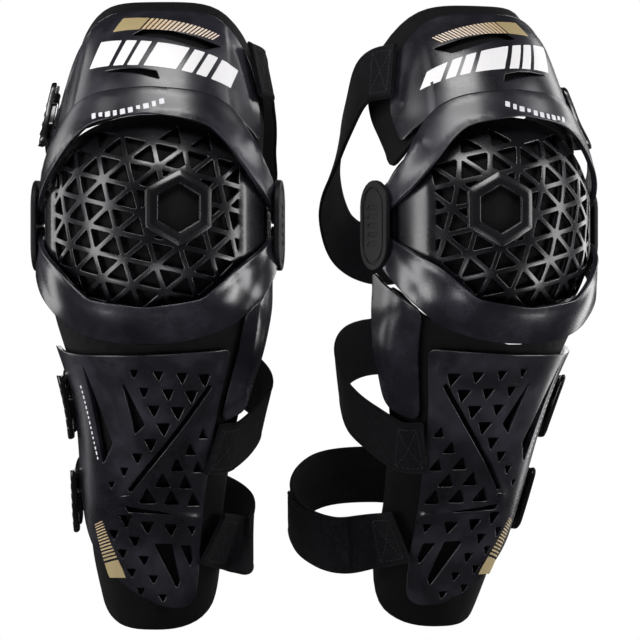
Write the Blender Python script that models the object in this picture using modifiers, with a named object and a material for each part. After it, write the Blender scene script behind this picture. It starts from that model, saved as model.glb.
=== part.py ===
"""A pair of hinged knee and shin guards for motorcycle riding.

Each guard is a thigh part, a knee part and a shin part. Two pivots on each side
of the knee join them, one above the other, so the knee part stays between the
other two while the leg bends. The shells follow one skin around the leg, given
by sections at a few heights. The right guard is modelled in its own frame (x to
the outside of the pair, -y to the front, z up, zero between the pivots), and the
left guard is its mirror image, apart from how its lower straps lie.
Lengths are in millimetres until a mesh is made.
"""

import math

import bmesh
import bpy
from mathutils import Matrix, Vector

MM = 0.001

# The pair
GUARD_OFFSET = 127.0
TOE_OUT = math.radians(17.5)

# Skin of the shells: height, half width, front, depth from the front to the side, and how square
# the section is on the facing side, where the shin is flat
SECTIONS = (
    (178.0, 60.0, -3.0, 60.0, 2.2),
    (165.0, 66.0, -14.0, 70.0, 2.2),
    (141.0, 75.0, -36.0, 88.0, 2.2),
    (113.0, 82.0, -52.0, 98.0, 2.2),
    (97.0, 85.5, -59.0, 99.0, 2.2),
    (82.0, 87.5, -65.0, 96.0, 2.2),
    (66.0, 89.0, -72.0, 87.0, 2.2),
    (51.0, 89.5, -77.0, 80.0, 2.2),
    (35.0, 90.5, -81.0, 81.0, 2.2),
    (14.5, 91.0, -84.0, 84.0, 2.2),
    (-14.5, 91.0, -84.0, 84.0, 2.2),
    (-45.0, 91.0, -82.0, 83.0, 2.2),
    (-65.0, 90.0, -76.0, 83.0, 2.1),
    (-92.0, 84.0, -61.0, 80.0, 1.8),
    (-119.0, 76.0, -45.0, 72.0, 1.6),
    (-150.0, 68.5, -27.0, 65.0, 1.55),
    (-211.0, 62.0, 12.0, 59.0, 1.55),
    (-258.0, 59.0, 44.0, 54.0, 1.55),
    (-297.0, 53.0, 66.0, 49.0, 1.6),
    (-318.0, 48.0, 78.0, 45.0, 1.6),
)
SQUARENESS = 2.2
SIDE_RUN = 62.0
SHIN_LEAN = 14.0

# Hinges
PIVOT_HEIGHT = 14.5
PIN_RADIUS = 4.0
PIN_HOLE_RADIUS = 4.3
PIN_END_GAP = 0.3
PIN_HEAD = 0.6
LUG_RADIUS = 13.6
COVER_LENGTH = 70.0
COVER_WIDTH = 41.0
COVER_THICKNESS = 4.5
COVER_GAP = 0.6
HINGE_FACE = 91.0
ACROSS = 220.0

# Shells and pads
FRAME_OFFSET = 0.0
FRAME_THICKNESS = 3.5
PLATE_OFFSET = -4.2
PLATE_THICKNESS = 3.0
PAD_OFFSET = -9.3
PAD_THICKNESS = 7.0
WING_THICKNESS = 2.6
KNEE_PAD_GAP = 1.8

# Knee cup: a dome about the pivots
CUP_HALF_WIDTH = 86.0
CUP_RADIUS = 81.0
CUP_SQUARENESS = 2.05
CUP_THICKNESS = 3.2
CUP_RISE = math.radians(60.0)
KNEE_PAD_RISE = math.radians(80.0)
KNEE_PAD_THICKNESS = 8.0
TAB_RADIUS = 15.0

# Straps and clips
WEBBING_WIDTH = 45.0
WEBBING_THICKNESS = 2.4
STRAP_OFFSET = 1.0
CLIP_THICKNESS = 3.0
CLIP_OFFSET = 4.0
CLIP_HALF_HEIGHT = 25.0
CLIP_POST_THICKNESS = 3.2
CLIP_GAP = 3.5
CLIP_FRONT = math.radians(69.0)
CLIP_BACK = math.radians(98.0)
CLIP_HEIGHTS = {"thigh": 86.0, "upper_calf": -140.0, "lower_calf": -214.0}

COLOURS = {
    "satin_shell": ((0.022, 0.021, 0.026), 0.38, 0.0),
    "gloss_shell": ((0.030, 0.029, 0.034), 0.24, 0.0),
    "cup_plastic": ((0.018, 0.018, 0.021), 0.33, 0.0),
    "hinge_plastic": ((0.020, 0.020, 0.022), 0.45, 0.0),
    "foam": ((0.012, 0.012, 0.013), 0.85, 0.0),
    "webbing": ((0.010, 0.010, 0.011), 0.95, 0.0),
    "clip_plastic": ((0.020, 0.020, 0.022), 0.25, 0.0),
    "pin_steel": ((0.35, 0.35, 0.36), 0.35, 1.0),
}


def clear_scene():
    for obj in list(bpy.data.objects):
        bpy.data.objects.remove(obj, do_unlink=True)


def new_collection(name):
    collection = bpy.data.collections.new(name)
    bpy.context.scene.collection.children.link(collection)
    return collection


def make_material(name):
    colour, roughness, metallic = COLOURS[name]
    material = bpy.data.materials.new(name)
    material.use_nodes = True
    shader = material.node_tree.nodes["Principled BSDF"]
    shader.inputs["Base Color"].default_value = (*colour, 1.0)
    shader.inputs["Roughness"].default_value = roughness
    shader.inputs["Metallic"].default_value = metallic
    material.diffuse_color = (*colour, 1.0)
    return material


# Curves through a few values


def eased(stations, at):
    """Smooth values between stations (position, value, ...), in rising or falling order."""
    rising = stations if stations[0][0] < stations[-1][0] else stations[::-1]
    at = min(max(at, rising[0][0]), rising[-1][0])
    index = 0
    while index < len(rising) - 2 and at > rising[index + 1][0]:
        index += 1
    first, second = rising[index], rising[index + 1]
    before = rising[max(index - 1, 0)]
    after = rising[min(index + 2, len(rising) - 1)]
    span = second[0] - first[0]
    t = (at - first[0]) / span
    values = []
    for k in range(1, len(first)):
        slope_in = (second[k] - before[k]) / (second[0] - before[0]) * span
        slope_out = (after[k] - first[k]) / (after[0] - first[0]) * span
        values.append(
            (2 * t**3 - 3 * t**2 + 1) * first[k]
            + (t**3 - 2 * t**2 + t) * slope_in
            + (3 * t**2 - 2 * t**3) * second[k]
            + (t**3 - t**2) * slope_out
        )
    return values


def catmull_rom(points, steps):
    """Points of a smooth curve through the given ones, with steps samples a span."""
    ends = [points[0] * 2 - points[1], *points, points[-1] * 2 - points[-2]]
    found = []
    for a, b, c, d in zip(ends, ends[1:], ends[2:], ends[3:]):
        for k in range(steps):
            t = k / steps
            found.append(
                (b * 2 + (c - a) * t + (a * 2 - b * 5 + c * 4 - d) * t**2
                 + (b * 3 - a - c * 3 + d) * t**3) / 2
            )
    return [*found, points[-1]]


# The skin


def lean(height):
    """How far the shin leans to the outside at a height."""
    t = min(max((-100.0 - height) / 165.0, 0.0), 1.0)
    return SHIN_LEAN * t * t * (3 - 2 * t)


def skin(angle, height, offset):
    """Point of the skin: angle 0 is its front, a quarter turn its side, then it runs straight back."""
    half, front, depth, facing_squareness = eased(SECTIONS, height)
    power = 2 / (SQUARENESS if angle > 0 else facing_squareness)
    turn = min(max(angle, -math.pi / 2), math.pi / 2)
    beyond = abs(angle) - abs(turn)
    x = math.copysign((half + offset) * abs(math.sin(turn)) ** power, turn)
    y = front + depth - (depth + offset) * max(math.cos(turn), 0.0) ** power
    return Vector((x + lean(height), y + beyond * SIDE_RUN, height))


def skin_normal(angle, height):
    """Outward normal of the skin."""
    step = 0.01
    across = skin(angle + step, height, 0) - skin(angle - step, height, 0)
    up = skin(angle, height + 1, 0) - skin(angle, height - 1, 0)
    return across.cross(up).normalized()


def dome(turn, rise, inset):
    """Point of the knee dome: turn runs across it, rise turns about the upper or the lower pivot."""
    power = 2 / CUP_SQUARENESS
    x = math.copysign((CUP_HALF_WIDTH - inset) * abs(math.sin(turn)) ** power, turn)
    radius = (CUP_RADIUS - inset) * math.cos(turn) ** power
    middle = math.copysign(PIVOT_HEIGHT, rise)
    return Vector((x, -radius * math.cos(rise), middle + radius * math.sin(rise)))


class Guard:
    """One guard: its empties, and the objects made for it."""

    def __init__(self, name, side, parts, cutters, materials):
        self.name, self.side = name, side
        self.parts, self.cutters, self.materials = parts, cutters, materials
        self.places = {}
        self.root = self.empty(f"{name}_guard", Vector(), None)
        self.root.location = Vector((side * GUARD_OFFSET, 0, 0)) * MM
        self.root.rotation_euler.z = side * TOE_OUT

    def place(self, point):
        """A point of the right guard's frame, mirrored on the left one, in metres."""
        return Vector((self.side * point.x, point.y, point.z)) * MM

    def empty(self, name, at, parent):
        obj = bpy.data.objects.new(name, None)
        obj.empty_display_size = 0.02
        obj.parent = parent
        obj.location = self.place(at) - (self.places[parent] if parent else Vector())
        self.places[obj] = self.place(at)
        self.parts.objects.link(obj)
        return obj

    def add(self, name, mesh, material, parent):
        """Object of a mesh in the guard's frame, hung on an empty that sits on its joint's axis."""
        obj = bpy.data.objects.new(f"{self.name}_{name}", mesh)
        obj.parent = parent
        obj.matrix_parent_inverse = Matrix.Translation(-self.places[parent])
        mesh.materials.append(self.materials[material])
        self.parts.objects.link(obj)
        return obj

    def grid(self, rows):
        """Mesh through rows of points, facing outwards, for Solidify to thicken inwards."""
        mesh = bpy.data.meshes.new("grid")
        columns = len(rows[0])
        corners = [self.place(point) for row in rows for point in row]
        faces = []
        for r in range(len(rows) - 1):
            for c in range(columns - 1):
                low, high = r * columns + c, (r + 1) * columns + c
                face = (low, low + 1, high + 1, high)
                faces.append(face if self.side > 0 else face[::-1])
        mesh.from_pydata(corners, [], faces)
        mesh.shade_smooth()
        return mesh

    def shell(self, name, material, parent, rows, thickness):
        obj = self.add(name, self.grid(rows), material, parent)
        solidify = obj.modifiers.new("thickness", "SOLIDIFY")
        solidify.thickness = thickness * MM
        solidify.offset = -1.0
        solidify.use_even_offset = True
        return obj

    def cylinder_mesh(self, centre, radius, length, segments, axis="X"):
        mesh = bpy.data.meshes.new("cylinder")
        shape = bmesh.new()
        bmesh.ops.create_cone(shape, cap_ends=True, segments=segments, radius1=radius * MM,
                              radius2=radius * MM, depth=length * MM)
        if axis == "X":
            bmesh.ops.rotate(shape, matrix=Matrix.Rotation(math.pi / 2, 3, "Y"), verts=shape.verts)
        bmesh.ops.translate(shape, vec=self.place(centre), verts=shape.verts)
        shape.to_mesh(mesh)
        shape.free()
        mesh.set_sharp_from_angle(angle=math.radians(40))
        return mesh

    def boolean(self, obj, other, operation):
        """Cuts obj by another mesh, or joins it on."""
        other.hide_render = True
        other.display_type = "WIRE"
        modifier = obj.modifiers.new(operation.lower(), "BOOLEAN")
        modifier.operation = operation
        modifier.object = other

    def cutter(self, name, mesh):
        obj = bpy.data.objects.new(f"{self.name}_{name}", mesh)
        obj.parent = self.root
        self.cutters.objects.link(obj)
        return obj


def shell_rows(left, right, low, high, offset, columns, rows):
    """Rows of skin points between two edge angles, each given for the height from 0 to 1, and
    between the two ends, whose heights are given for the place across from -1 to 1."""
    found = []
    for r in range(rows + 1):
        up = r / rows
        row = []
        for c in range(columns + 1):
            across = 2 * c / columns - 1
            angle = left(up) + (right(up) - left(up)) * (across + 1) / 2
            height = low(across) + (high(across) - low(across)) * up
            row.append(skin(angle, height, offset))
        found.append(row)
    return found


def band_rows(inner, outer, offset, columns, rows):
    """Rows of a yoke from one hinge over the front to the other: inner and outer give its edges'
    heights for an angle in degrees from the front."""
    found = []
    for r in range(rows + 1):
        part = r / rows
        row = []
        for c in range(columns + 1):
            degrees = -BAND_REACH + 2 * BAND_REACH * c / columns
            low = eased(inner, abs(degrees))[0]
            high = eased(outer, abs(degrees))[0]
            row.append(skin(math.radians(degrees), low + (high - low) * part, offset))
        found.append(row)
    return found


# Edges of the two yokes: angle from the front in degrees, height
BAND_REACH = 90.0
UPPER_INNER = ((0, 84), (27, 76), (38, 65), (50, 48), (61, 33), (76, 17), (90, 6))
UPPER_OUTER = ((0, 105), (25, 101), (39, 94), (50, 82), (60, 66), (70, 50), (80, 36), (90, 27))
LOWER_INNER = ((0, -63.5), (26, -57), (31, -52), (38, -44), (49, -32), (63, -22), (76, -13), (90, -6))
LOWER_OUTER = ((0, -91), (15, -90), (29, -86), (46, -77), (57, -65), (70, -51), (80, -39), (90, -29))


def add_yoke(guard, name, material, parent, inner, outer, pivot, columns=22):
    low, high = (inner, outer) if pivot.z > 0 else (outer, inner)
    rows = band_rows(low, high, FRAME_OFFSET, columns, 1)
    yoke = guard.shell(name, material, parent, rows, FRAME_THICKNESS)
    for side in (-1, 1):
        centre = Vector((side * (HINGE_FACE - FRAME_THICKNESS / 2), 0, pivot.z))
        lug = guard.cylinder_mesh(centre, LUG_RADIUS, FRAME_THICKNESS + 0.2, 24)
        guard.boolean(yoke, guard.cutter(f"{name}_lug_{'facing' if side < 0 else 'outer'}", lug), "UNION")
    hole = guard.cylinder_mesh(pivot, PIN_HOLE_RADIUS, ACROSS, 16)
    guard.boolean(yoke, guard.cutter(f"{name}_pin_hole", hole), "DIFFERENCE")
    return yoke


def stadium_mesh(guard, x_from, x_to, radius, half_length, segments):
    """A flat plate with round ends, lying across x."""
    mesh = bpy.data.meshes.new("stadium")
    outline = []
    for k in range(segments + 1):
        turn = math.pi * k / segments
        outline.append((radius * math.cos(turn), half_length + radius * math.sin(turn)))
    for k in range(segments + 1):
        turn = math.pi + math.pi * k / segments
        outline.append((radius * math.cos(turn), -half_length + radius * math.sin(turn)))
    shape = bmesh.new()
    first = [shape.verts.new(guard.place(Vector((x_from, y, z)))) for y, z in outline]
    face = shape.faces.new(first)
    made = bmesh.ops.extrude_face_region(shape, geom=[face])
    moved = [item for item in made["geom"] if isinstance(item, bmesh.types.BMVert)]
    bmesh.ops.translate(shape, vec=guard.place(Vector((x_to - x_from, 0, 0))), verts=moved)
    bmesh.ops.recalc_face_normals(shape, faces=shape.faces)
    shape.to_mesh(mesh)
    shape.free()
    return mesh


def add_knee(guard, knee):
    """Cup, pad, pins and covers of the knee part."""
    reach = math.acos((11.0 / CUP_RADIUS) ** (CUP_SQUARENESS / 2))

    def dome_rows(inset, columns, rows, limit, front_rise, side_rise):
        """Rows of the dome that end on a circle about the pivots, so the sides are round."""
        found = []
        for r in range(2 * rows + 2):
            up = r <= rows
            part = 1 - r / rows if up else (r - rows - 1) / rows
            row = []
            for c in range(columns + 1):
                turn = limit * (2 * c / columns - 1)
                side = abs(turn) / limit
                rise = (front_rise + (side_rise - front_rise) * side**4) * part
                row.append(dome(turn, -rise if up else rise, inset))
            found.append(row)
        # the two middle rows share no height, so the dome is straight between the pivots
        for point in found[rows]:
            point.z = -PIVOT_HEIGHT
        for point in found[rows + 1]:
            point.z = PIVOT_HEIGHT
        return found

    side_rise = CUP_RISE + math.radians(34)
    rows = dome_rows(0, 16, 5, reach, CUP_RISE, side_rise)
    cup = guard.shell("knee_cup", "cup_plastic", knee, rows, CUP_THICKNESS)
    for side, word in ((-1, "facing"), (1, "outer")):
        tab_from, tab_to = CUP_HALF_WIDTH - 0.2, CUP_HALF_WIDTH - CUP_THICKNESS - 0.4
        tab = stadium_mesh(guard, side * tab_from, side * tab_to, TAB_RADIUS, PIVOT_HEIGHT, 8)
        guard.boolean(cup, guard.cutter(f"knee_tab_{word}", tab), "UNION")
    for end, word in ((1, "upper"), (-1, "lower")):
        pivot = Vector((0, 0, end * PIVOT_HEIGHT))
        hole = guard.cylinder_mesh(pivot, PIN_HOLE_RADIUS, ACROSS, 16)
        guard.boolean(cup, guard.cutter(f"cup_{word}_pin_hole", hole), "DIFFERENCE")
    rows = dome_rows(CUP_THICKNESS + KNEE_PAD_GAP, 12, 5, reach * 0.9, KNEE_PAD_RISE, side_rise)
    guard.shell("knee_pad", "foam", knee, rows, KNEE_PAD_THICKNESS)

    inside = CUP_HALF_WIDTH - CUP_THICKNESS - 0.4 - PIN_HEAD
    cover_from = HINGE_FACE + COVER_GAP
    for side, where in ((-1, "facing"), (1, "outer")):
        cover = stadium_mesh(guard, side * cover_from, side * (cover_from + COVER_THICKNESS),
                             COVER_WIDTH / 2, (COVER_LENGTH - COVER_WIDTH) / 2, 10)
        obj = guard.add(f"hinge_cover_{where}", cover, "hinge_plastic", knee)
        bevel = obj.modifiers.new("edge", "BEVEL")
        bevel.width = 1.2 * MM
        bevel.segments = 1
        bevel.limit_method = "ANGLE"
        for end, word in ((1, "upper"), (-1, "lower")):
            length = cover_from - PIN_END_GAP - inside
            centre = Vector((side * (inside + length / 2), 0, end * PIVOT_HEIGHT))
            pin = guard.cylinder_mesh(centre, PIN_RADIUS, length, 16)
            guard.add(f"{word}_pin_{where}", pin, "pin_steel", knee)


def add_thigh(guard, thigh):
    """Yoke, plate and pad of the thigh part."""
    pivot = Vector((0, 0, PIVOT_HEIGHT))
    add_yoke(guard, "upper_frame", "satin_shell", thigh, UPPER_INNER, UPPER_OUTER, pivot)
    edge = math.radians(72)
    guard.shell(
        "thigh_plate", "satin_shell", thigh,
        shell_rows(lambda up: -edge, lambda up: edge * (1 - 0.06 * up),
                   lambda across: 96 - 34 * abs(across) ** 2.2,
                   lambda across: 165 - 44 * abs(across) ** 4,
                   PLATE_OFFSET, 14, 5),
        PLATE_THICKNESS)
    edge = math.radians(94)
    guard.shell(
        "thigh_pad", "foam", thigh,
        shell_rows(lambda up: -edge, lambda up: edge,
                   lambda across: 94 - 48 * abs(across) ** 1.3 - 7.0 * max(1 - (across / 0.62) ** 2, 0),
                   lambda across: 172 - 50 * abs(across) ** 4,
                   PAD_OFFSET, 14, 5),
        PAD_THICKNESS)


def add_shin(guard):
    """Yoke, plate, pad and side wing of the shin part, which the guard's own empty carries."""
    root = guard.root
    pivot = Vector((0, 0, -PIVOT_HEIGHT))
    add_yoke(guard, "lower_frame", "gloss_shell", root, LOWER_INNER, LOWER_OUTER, pivot)
    facing, outer = math.radians(-52), math.radians(84)
    guard.shell(
        "shin_plate", "satin_shell", root,
        shell_rows(lambda up: facing * (1 - 0.12 * (1 - up) ** 3),
                   lambda up: outer * (1 - 0.62 * (1 - up) ** 4),
                   lambda across: -298 + 12 * max(across + 0.5, 0) ** 2 + 40 * max(-across - 0.6, 0) ** 2,
                   lambda across: -99.5 + 14 * max(across - 0.2, 0) ** 2 + 5 * max(-across, 0) ** 2,
                   PLATE_OFFSET, 14, 9),
        PLATE_THICKNESS)
    edge = math.radians(97)
    guard.shell(
        "shin_pad", "foam", root,
        shell_rows(lambda up: -edge, lambda up: edge,
                   lambda across: -316 + 34 * abs(across) ** 3,
                   lambda across: -92 + 45 * abs(across) ** 1.35,
                   PAD_OFFSET, 16, 9),
        PAD_THICKNESS)
    guard.shell(
        "side_wing", "gloss_shell", root,
        shell_rows(lambda up: math.radians(-107 + 12 * (1 - up)), lambda up: math.radians(-58),
                   lambda across: -136 - 16 * (across + 1) / 2,
                   lambda across: -33 - 32 * (across + 1) / 2,
                   PLATE_OFFSET, 6, 6),
        WING_THICKNESS)


# Straps: each starts on the facing side, goes round the back and ends at its clip on the outer
# side. The first and last points lie on the skin; the points between hang free behind the leg.


def leg_lean(height):
    """How far the leg's axis runs back for each millimetre of height."""
    low, high = eased(SECTIONS, height - 10), eased(SECTIONS, height + 10)
    return (high[1] + high[2] - low[1] - low[2]) / 20


def strap_route(front, clip, free):
    """Points of a strap and the way that each faces: (angle, height) on the facing side, the free
    points, and the clip's bar."""
    angle, height, drop = front
    stations = [
        (skin(math.radians(-turned), at, STRAP_OFFSET), skin_normal(math.radians(-turned), at))
        for turned, at in ((angle, height), (angle + 22, height - drop))
    ]
    bar = CLIP_HEIGHTS[clip]
    backwards = Vector((0, 1, -leg_lean(bar))).normalized()
    for distance in (27.0, CLIP_GAP):
        point = skin(CLIP_BACK, bar, CLIP_OFFSET - CLIP_THICKNESS / 2) + backwards * distance
        point.x = eased(SECTIONS, point.z)[0] + lean(point.z) + CLIP_OFFSET - CLIP_THICKNESS / 2
        stations.append((point, skin_normal(CLIP_BACK, point.z)))
    loose = []
    for point in map(Vector, free):
        section = eased(SECTIONS, point.z)
        middle = section[1] + section[2]
        loose.append((point, Vector((point.x, (point.y - middle) * 0.8, 0)).normalized()))
    return [*stations[:2], *loose, *stations[2:]]


STRAPS = {
    "right": {
        "thigh": ((66, 121, 9), ((-78, 84, 68), (-71, 115, 30), (-47, 138, -8), (0, 146, -22),
                                 (52, 134, 2), (82, 100, 42))),
        "upper_calf": ((50, -173, -3), ((-76, 70, -144), (-73, 98, -118), (-46, 124, -98),
                                        (0, 134, -94), (46, 124, -106), (72, 98, -126))),
        "lower_calf": ((56, -244, 3), ((-74, 98, -250), (-90, 124, -239), (-86, 149, -219),
                                        (-52, 168, -201), (0, 168, -197), (42, 152, -203), (62, 128, -210))),
    },
    "left": {
        "thigh": ((66, 121, 9), ((-75, 84, 74), (-66, 112, 42), (-42, 132, 12), (0, 142, -6),
                                 (50, 130, 12), (80, 98, 48))),
        "upper_calf": ((50, -173, -3), ((-74, 70, -149), (-70, 95, -130), (-44, 120, -114),
                                        (0, 130, -110), (44, 122, -116), (71, 98, -128))),
        "lower_calf": ((56, -244, 3), ((-60, 92, -250), (-60, 114, -242), (-50, 136, -228),
                                       (-26, 150, -216), (4, 152, -211), (34, 144, -211), (58, 126, -212))),
    },
}


def add_strap(guard, name, parent, route):
    """A flat strap along a route, its width square to the route and to the way that it faces."""
    points = catmull_rom([point for point, _ in route], 3)
    facings = catmull_rom([facing for _, facing in route], 3)
    rows = [[], []]
    for k, (point, facing) in enumerate(zip(points, facings)):
        along = points[min(k + 1, len(points) - 1)] - points[max(k - 1, 0)]
        across = along.cross(facing).normalized()
        for row, place in zip(rows, (-0.5, 0.5)):
            row.append(point - across * (place * WEBBING_WIDTH))
    return guard.shell(name, "webbing", parent, rows, WEBBING_THICKNESS)


def add_clip(guard, place, parent):
    """A clip that swings out about its rear bar, and the post on the shell that it hooks over."""
    height = CLIP_HEIGHTS[place]
    low, high = height - CLIP_HALF_HEIGHT, height + CLIP_HALF_HEIGHT
    ends = [skin(CLIP_BACK, at, CLIP_OFFSET - CLIP_THICKNESS / 2) for at in (low, high)]
    bar = guard.empty(f"{guard.name}_{place}_clip_axis", (ends[0] + ends[1]) / 2, parent)
    rows = []
    for r in range(5):
        at = low + (high - low) * r / 4
        rows.append([skin(CLIP_FRONT + (CLIP_BACK - CLIP_FRONT) * c / 5, at, CLIP_OFFSET) for c in range(6)])
    guard.shell(f"{place}_clip", "clip_plastic", bar, rows, CLIP_THICKNESS)
    rows = []
    for r in range(3):
        at = height + (r - 1) * 9
        offset = CLIP_OFFSET - CLIP_THICKNESS - 0.5
        rows.append([skin(math.radians(75 + 5 * c), at, offset) for c in range(3)])
    guard.shell(f"{place}_clip_post", "clip_plastic", parent, rows, CLIP_POST_THICKNESS)


def build_guard(name, side, parts, cutters, materials):
    guard = Guard(name, side, parts, cutters, materials)
    knee = guard.empty(f"{name}_knee_axis", Vector((0, 0, -PIVOT_HEIGHT)), guard.root)
    thigh = guard.empty(f"{name}_thigh_axis", Vector((0, 0, PIVOT_HEIGHT)), guard.root)
    add_knee(guard, knee)
    add_thigh(guard, thigh)
    add_shin(guard)
    for place, parent in (("thigh", thigh), ("upper_calf", guard.root), ("lower_calf", guard.root)):
        front, free = STRAPS[name][place]
        add_strap(guard, f"{place}_strap", parent, strap_route(front, place, free))
        add_clip(guard, place, parent)


def main():
    clear_scene()
    parts = new_collection("knee_guards")
    cutters = new_collection("cutters")
    materials = {name: make_material(name) for name in COLOURS}
    for name, side in (("right", 1), ("left", -1)):
        build_guard(name, side, parts, cutters, materials)


main()
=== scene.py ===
"""Looks of a pair of hinged knee and shin guards: shells, lattice, liners, straps, clips and prints.

Each guard is worked out in its own frame, in millimetres: x to the outside of the pair, -y to the
front, z up, zero between the hinge pivots. The left guard is the mirror image of the right one,
apart from its straps. Shells lie on the skin that the design gives them.
"""

import math
import random

import bpy
import numpy as np
from mathutils import Matrix, Vector
from mathutils.geometry import delaunay_2d_cdt


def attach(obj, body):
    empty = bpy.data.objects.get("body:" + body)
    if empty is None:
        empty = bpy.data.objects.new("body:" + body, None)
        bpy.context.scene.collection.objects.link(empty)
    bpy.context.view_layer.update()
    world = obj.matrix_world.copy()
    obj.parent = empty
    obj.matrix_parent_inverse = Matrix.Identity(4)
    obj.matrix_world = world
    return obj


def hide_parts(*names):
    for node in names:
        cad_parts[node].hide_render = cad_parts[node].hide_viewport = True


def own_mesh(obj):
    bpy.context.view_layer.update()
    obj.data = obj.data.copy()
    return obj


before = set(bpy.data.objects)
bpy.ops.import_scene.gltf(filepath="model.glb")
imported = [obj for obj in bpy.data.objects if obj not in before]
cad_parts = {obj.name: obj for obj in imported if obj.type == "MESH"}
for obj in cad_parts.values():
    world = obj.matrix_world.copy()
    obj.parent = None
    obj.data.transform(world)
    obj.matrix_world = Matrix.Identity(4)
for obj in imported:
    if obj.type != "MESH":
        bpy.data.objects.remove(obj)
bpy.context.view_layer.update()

MM = 0.001
GUARD_OFFSET = 127.0
TOE_OUT = math.radians(17.5)

# ---------------------------------------------------------------- the skin, as the design has it

# height, half width, front, depth from the front to the side, squareness on the facing side
SECTIONS = (
    (178.0, 60.0, -3.0, 60.0, 2.2),
    (165.0, 66.0, -14.0, 70.0, 2.2),
    (141.0, 75.0, -36.0, 88.0, 2.2),
    (113.0, 82.0, -52.0, 98.0, 2.2),
    (97.0, 85.5, -59.0, 99.0, 2.2),
    (82.0, 87.5, -65.0, 96.0, 2.2),
    (66.0, 89.0, -72.0, 87.0, 2.2),
    (51.0, 89.5, -77.0, 80.0, 2.2),
    (35.0, 90.5, -81.0, 81.0, 2.2),
    (14.5, 91.0, -84.0, 84.0, 2.2),
    (-14.5, 91.0, -84.0, 84.0, 2.2),
    (-45.0, 91.0, -82.0, 83.0, 2.2),
    (-65.0, 90.0, -76.0, 83.0, 2.1),
    (-92.0, 84.0, -61.0, 80.0, 1.8),
    (-119.0, 76.0, -45.0, 72.0, 1.6),
    (-150.0, 68.5, -27.0, 65.0, 1.55),
    (-211.0, 62.0, 12.0, 59.0, 1.55),
    (-258.0, 59.0, 44.0, 54.0, 1.55),
    (-297.0, 53.0, 66.0, 49.0, 1.6),
    (-318.0, 48.0, 78.0, 45.0, 1.6),
)
SQUARENESS = 2.2
SIDE_RUN = 62.0
SHIN_LEAN = 14.0
PIVOT_HEIGHT = 14.5
HINGE_FACE = 91.0
PIN_HOLE_RADIUS = 4.3

UPPER_INNER = ((0, 84), (27, 76), (38, 65), (50, 48), (61, 33), (76, 17), (90, 6))
UPPER_OUTER = ((0, 105), (25, 101), (39, 94), (50, 82), (60, 66), (70, 50), (80, 36), (90, 27))
LOWER_INNER = ((0, -63.5), (26, -57), (31, -52), (38, -44), (49, -32), (63, -22), (76, -13), (90, -6))
LOWER_OUTER = ((0, -91), (15, -90), (29, -86), (46, -77), (57, -65), (70, -51), (80, -39), (90, -29))

CUP_HALF_WIDTH = 86.0
CUP_RADIUS = 81.0
CUP_SQUARENESS = 2.05
CUP_THICKNESS = 3.2

PLATE_OFFSET = -4.2
PAD_OFFSET = -9.3
PAD_THICKNESS = 7.0
STRAP_OFFSET = 1.0
WEBBING_WIDTH = 45.0
WEBBING_THICKNESS = 2.4
CLIP_OFFSET = 4.0
CLIP_THICKNESS = 3.0
CLIP_HALF_HEIGHT = 25.0
CLIP_GAP = 3.5
CLIP_FRONT = math.radians(69.0)
CLIP_BACK = math.radians(98.0)
CLIP_HEIGHTS = {"thigh": 86.0, "upper_calf": -140.0, "lower_calf": -214.0}


def eased(stations, at):
    """Smooth values between stations (position, value, ...), for an array of positions."""
    rising = np.array(sorted(stations), float)
    places = rising[:, 0]
    at = np.clip(np.atleast_1d(np.asarray(at, float)), places[0], places[-1])
    index = np.clip(np.searchsorted(places, at, side="left") - 1, 0, len(places) - 2)
    before, after = np.maximum(index - 1, 0), np.minimum(index + 2, len(places) - 1)
    span = places[index + 1] - places[index]
    t = ((at - places[index]) / span)[:, None]
    first, second = rising[index, 1:], rising[index + 1, 1:]
    run = span[:, None]
    slope_in = (second - rising[before, 1:]) / (places[index + 1] - places[before])[:, None] * run
    slope_out = (rising[after, 1:] - first) / (places[after] - places[index])[:, None] * run
    return (
        (2 * t**3 - 3 * t**2 + 1) * first
        + (t**3 - 2 * t**2 + t) * slope_in
        + (3 * t**2 - 2 * t**3) * second
        + (t**3 - t**2) * slope_out
    )


def lean(height):
    """How far the shin leans to the outside at a height."""
    t = np.clip((-100.0 - np.asarray(height, float)) / 165.0, 0, 1)
    return SHIN_LEAN * t * t * (3 - 2 * t)


def skin(angle, height, offset=0.0):
    """Points of the skin: angle 0 is its front, a quarter turn its side, then it runs straight back."""
    angle, height = np.broadcast_arrays(np.asarray(angle, float), np.asarray(height, float))
    shape = angle.shape
    angle, height = angle.ravel(), height.ravel()
    offset = np.broadcast_to(offset, shape).ravel()
    half, front, depth, facing = eased(SECTIONS, height).T
    power = 2 / np.where(angle > 0, SQUARENESS, facing)
    turn = np.clip(angle, -math.pi / 2, math.pi / 2)
    x = np.sign(turn) * (half + offset) * np.abs(np.sin(turn)) ** power
    y = front + depth - (depth + offset) * np.maximum(np.cos(turn), 0) ** power
    y = y + (np.abs(angle) - np.abs(turn)) * SIDE_RUN
    return np.stack([x + lean(height), y, height], -1).reshape(*shape, 3)


ARC_STEP = 5.0
ARC_ANGLES = np.radians(np.arange(-112, 112.1, 2.0))
ARC_HEIGHTS = np.arange(-330, 190.1, ARC_STEP)


def arc_table():
    """Distance round the skin from its front, for each height and angle of the table."""
    points = skin(*np.meshgrid(ARC_ANGLES, ARC_HEIGHTS))
    steps = np.linalg.norm(np.diff(points, axis=1), axis=2)
    run = np.concatenate([np.zeros((len(ARC_HEIGHTS), 1)), np.cumsum(steps, 1)], 1)
    return run - run[:, len(ARC_ANGLES) // 2][:, None]


ARCS = arc_table()


def arc_row(height):
    """The table's row at a height."""
    place = min(max((height - ARC_HEIGHTS[0]) / ARC_STEP, 0), len(ARC_HEIGHTS) - 1.001)
    low = int(place)
    return ARCS[low] * (1 - place + low) + ARCS[low + 1] * (place - low)


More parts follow.
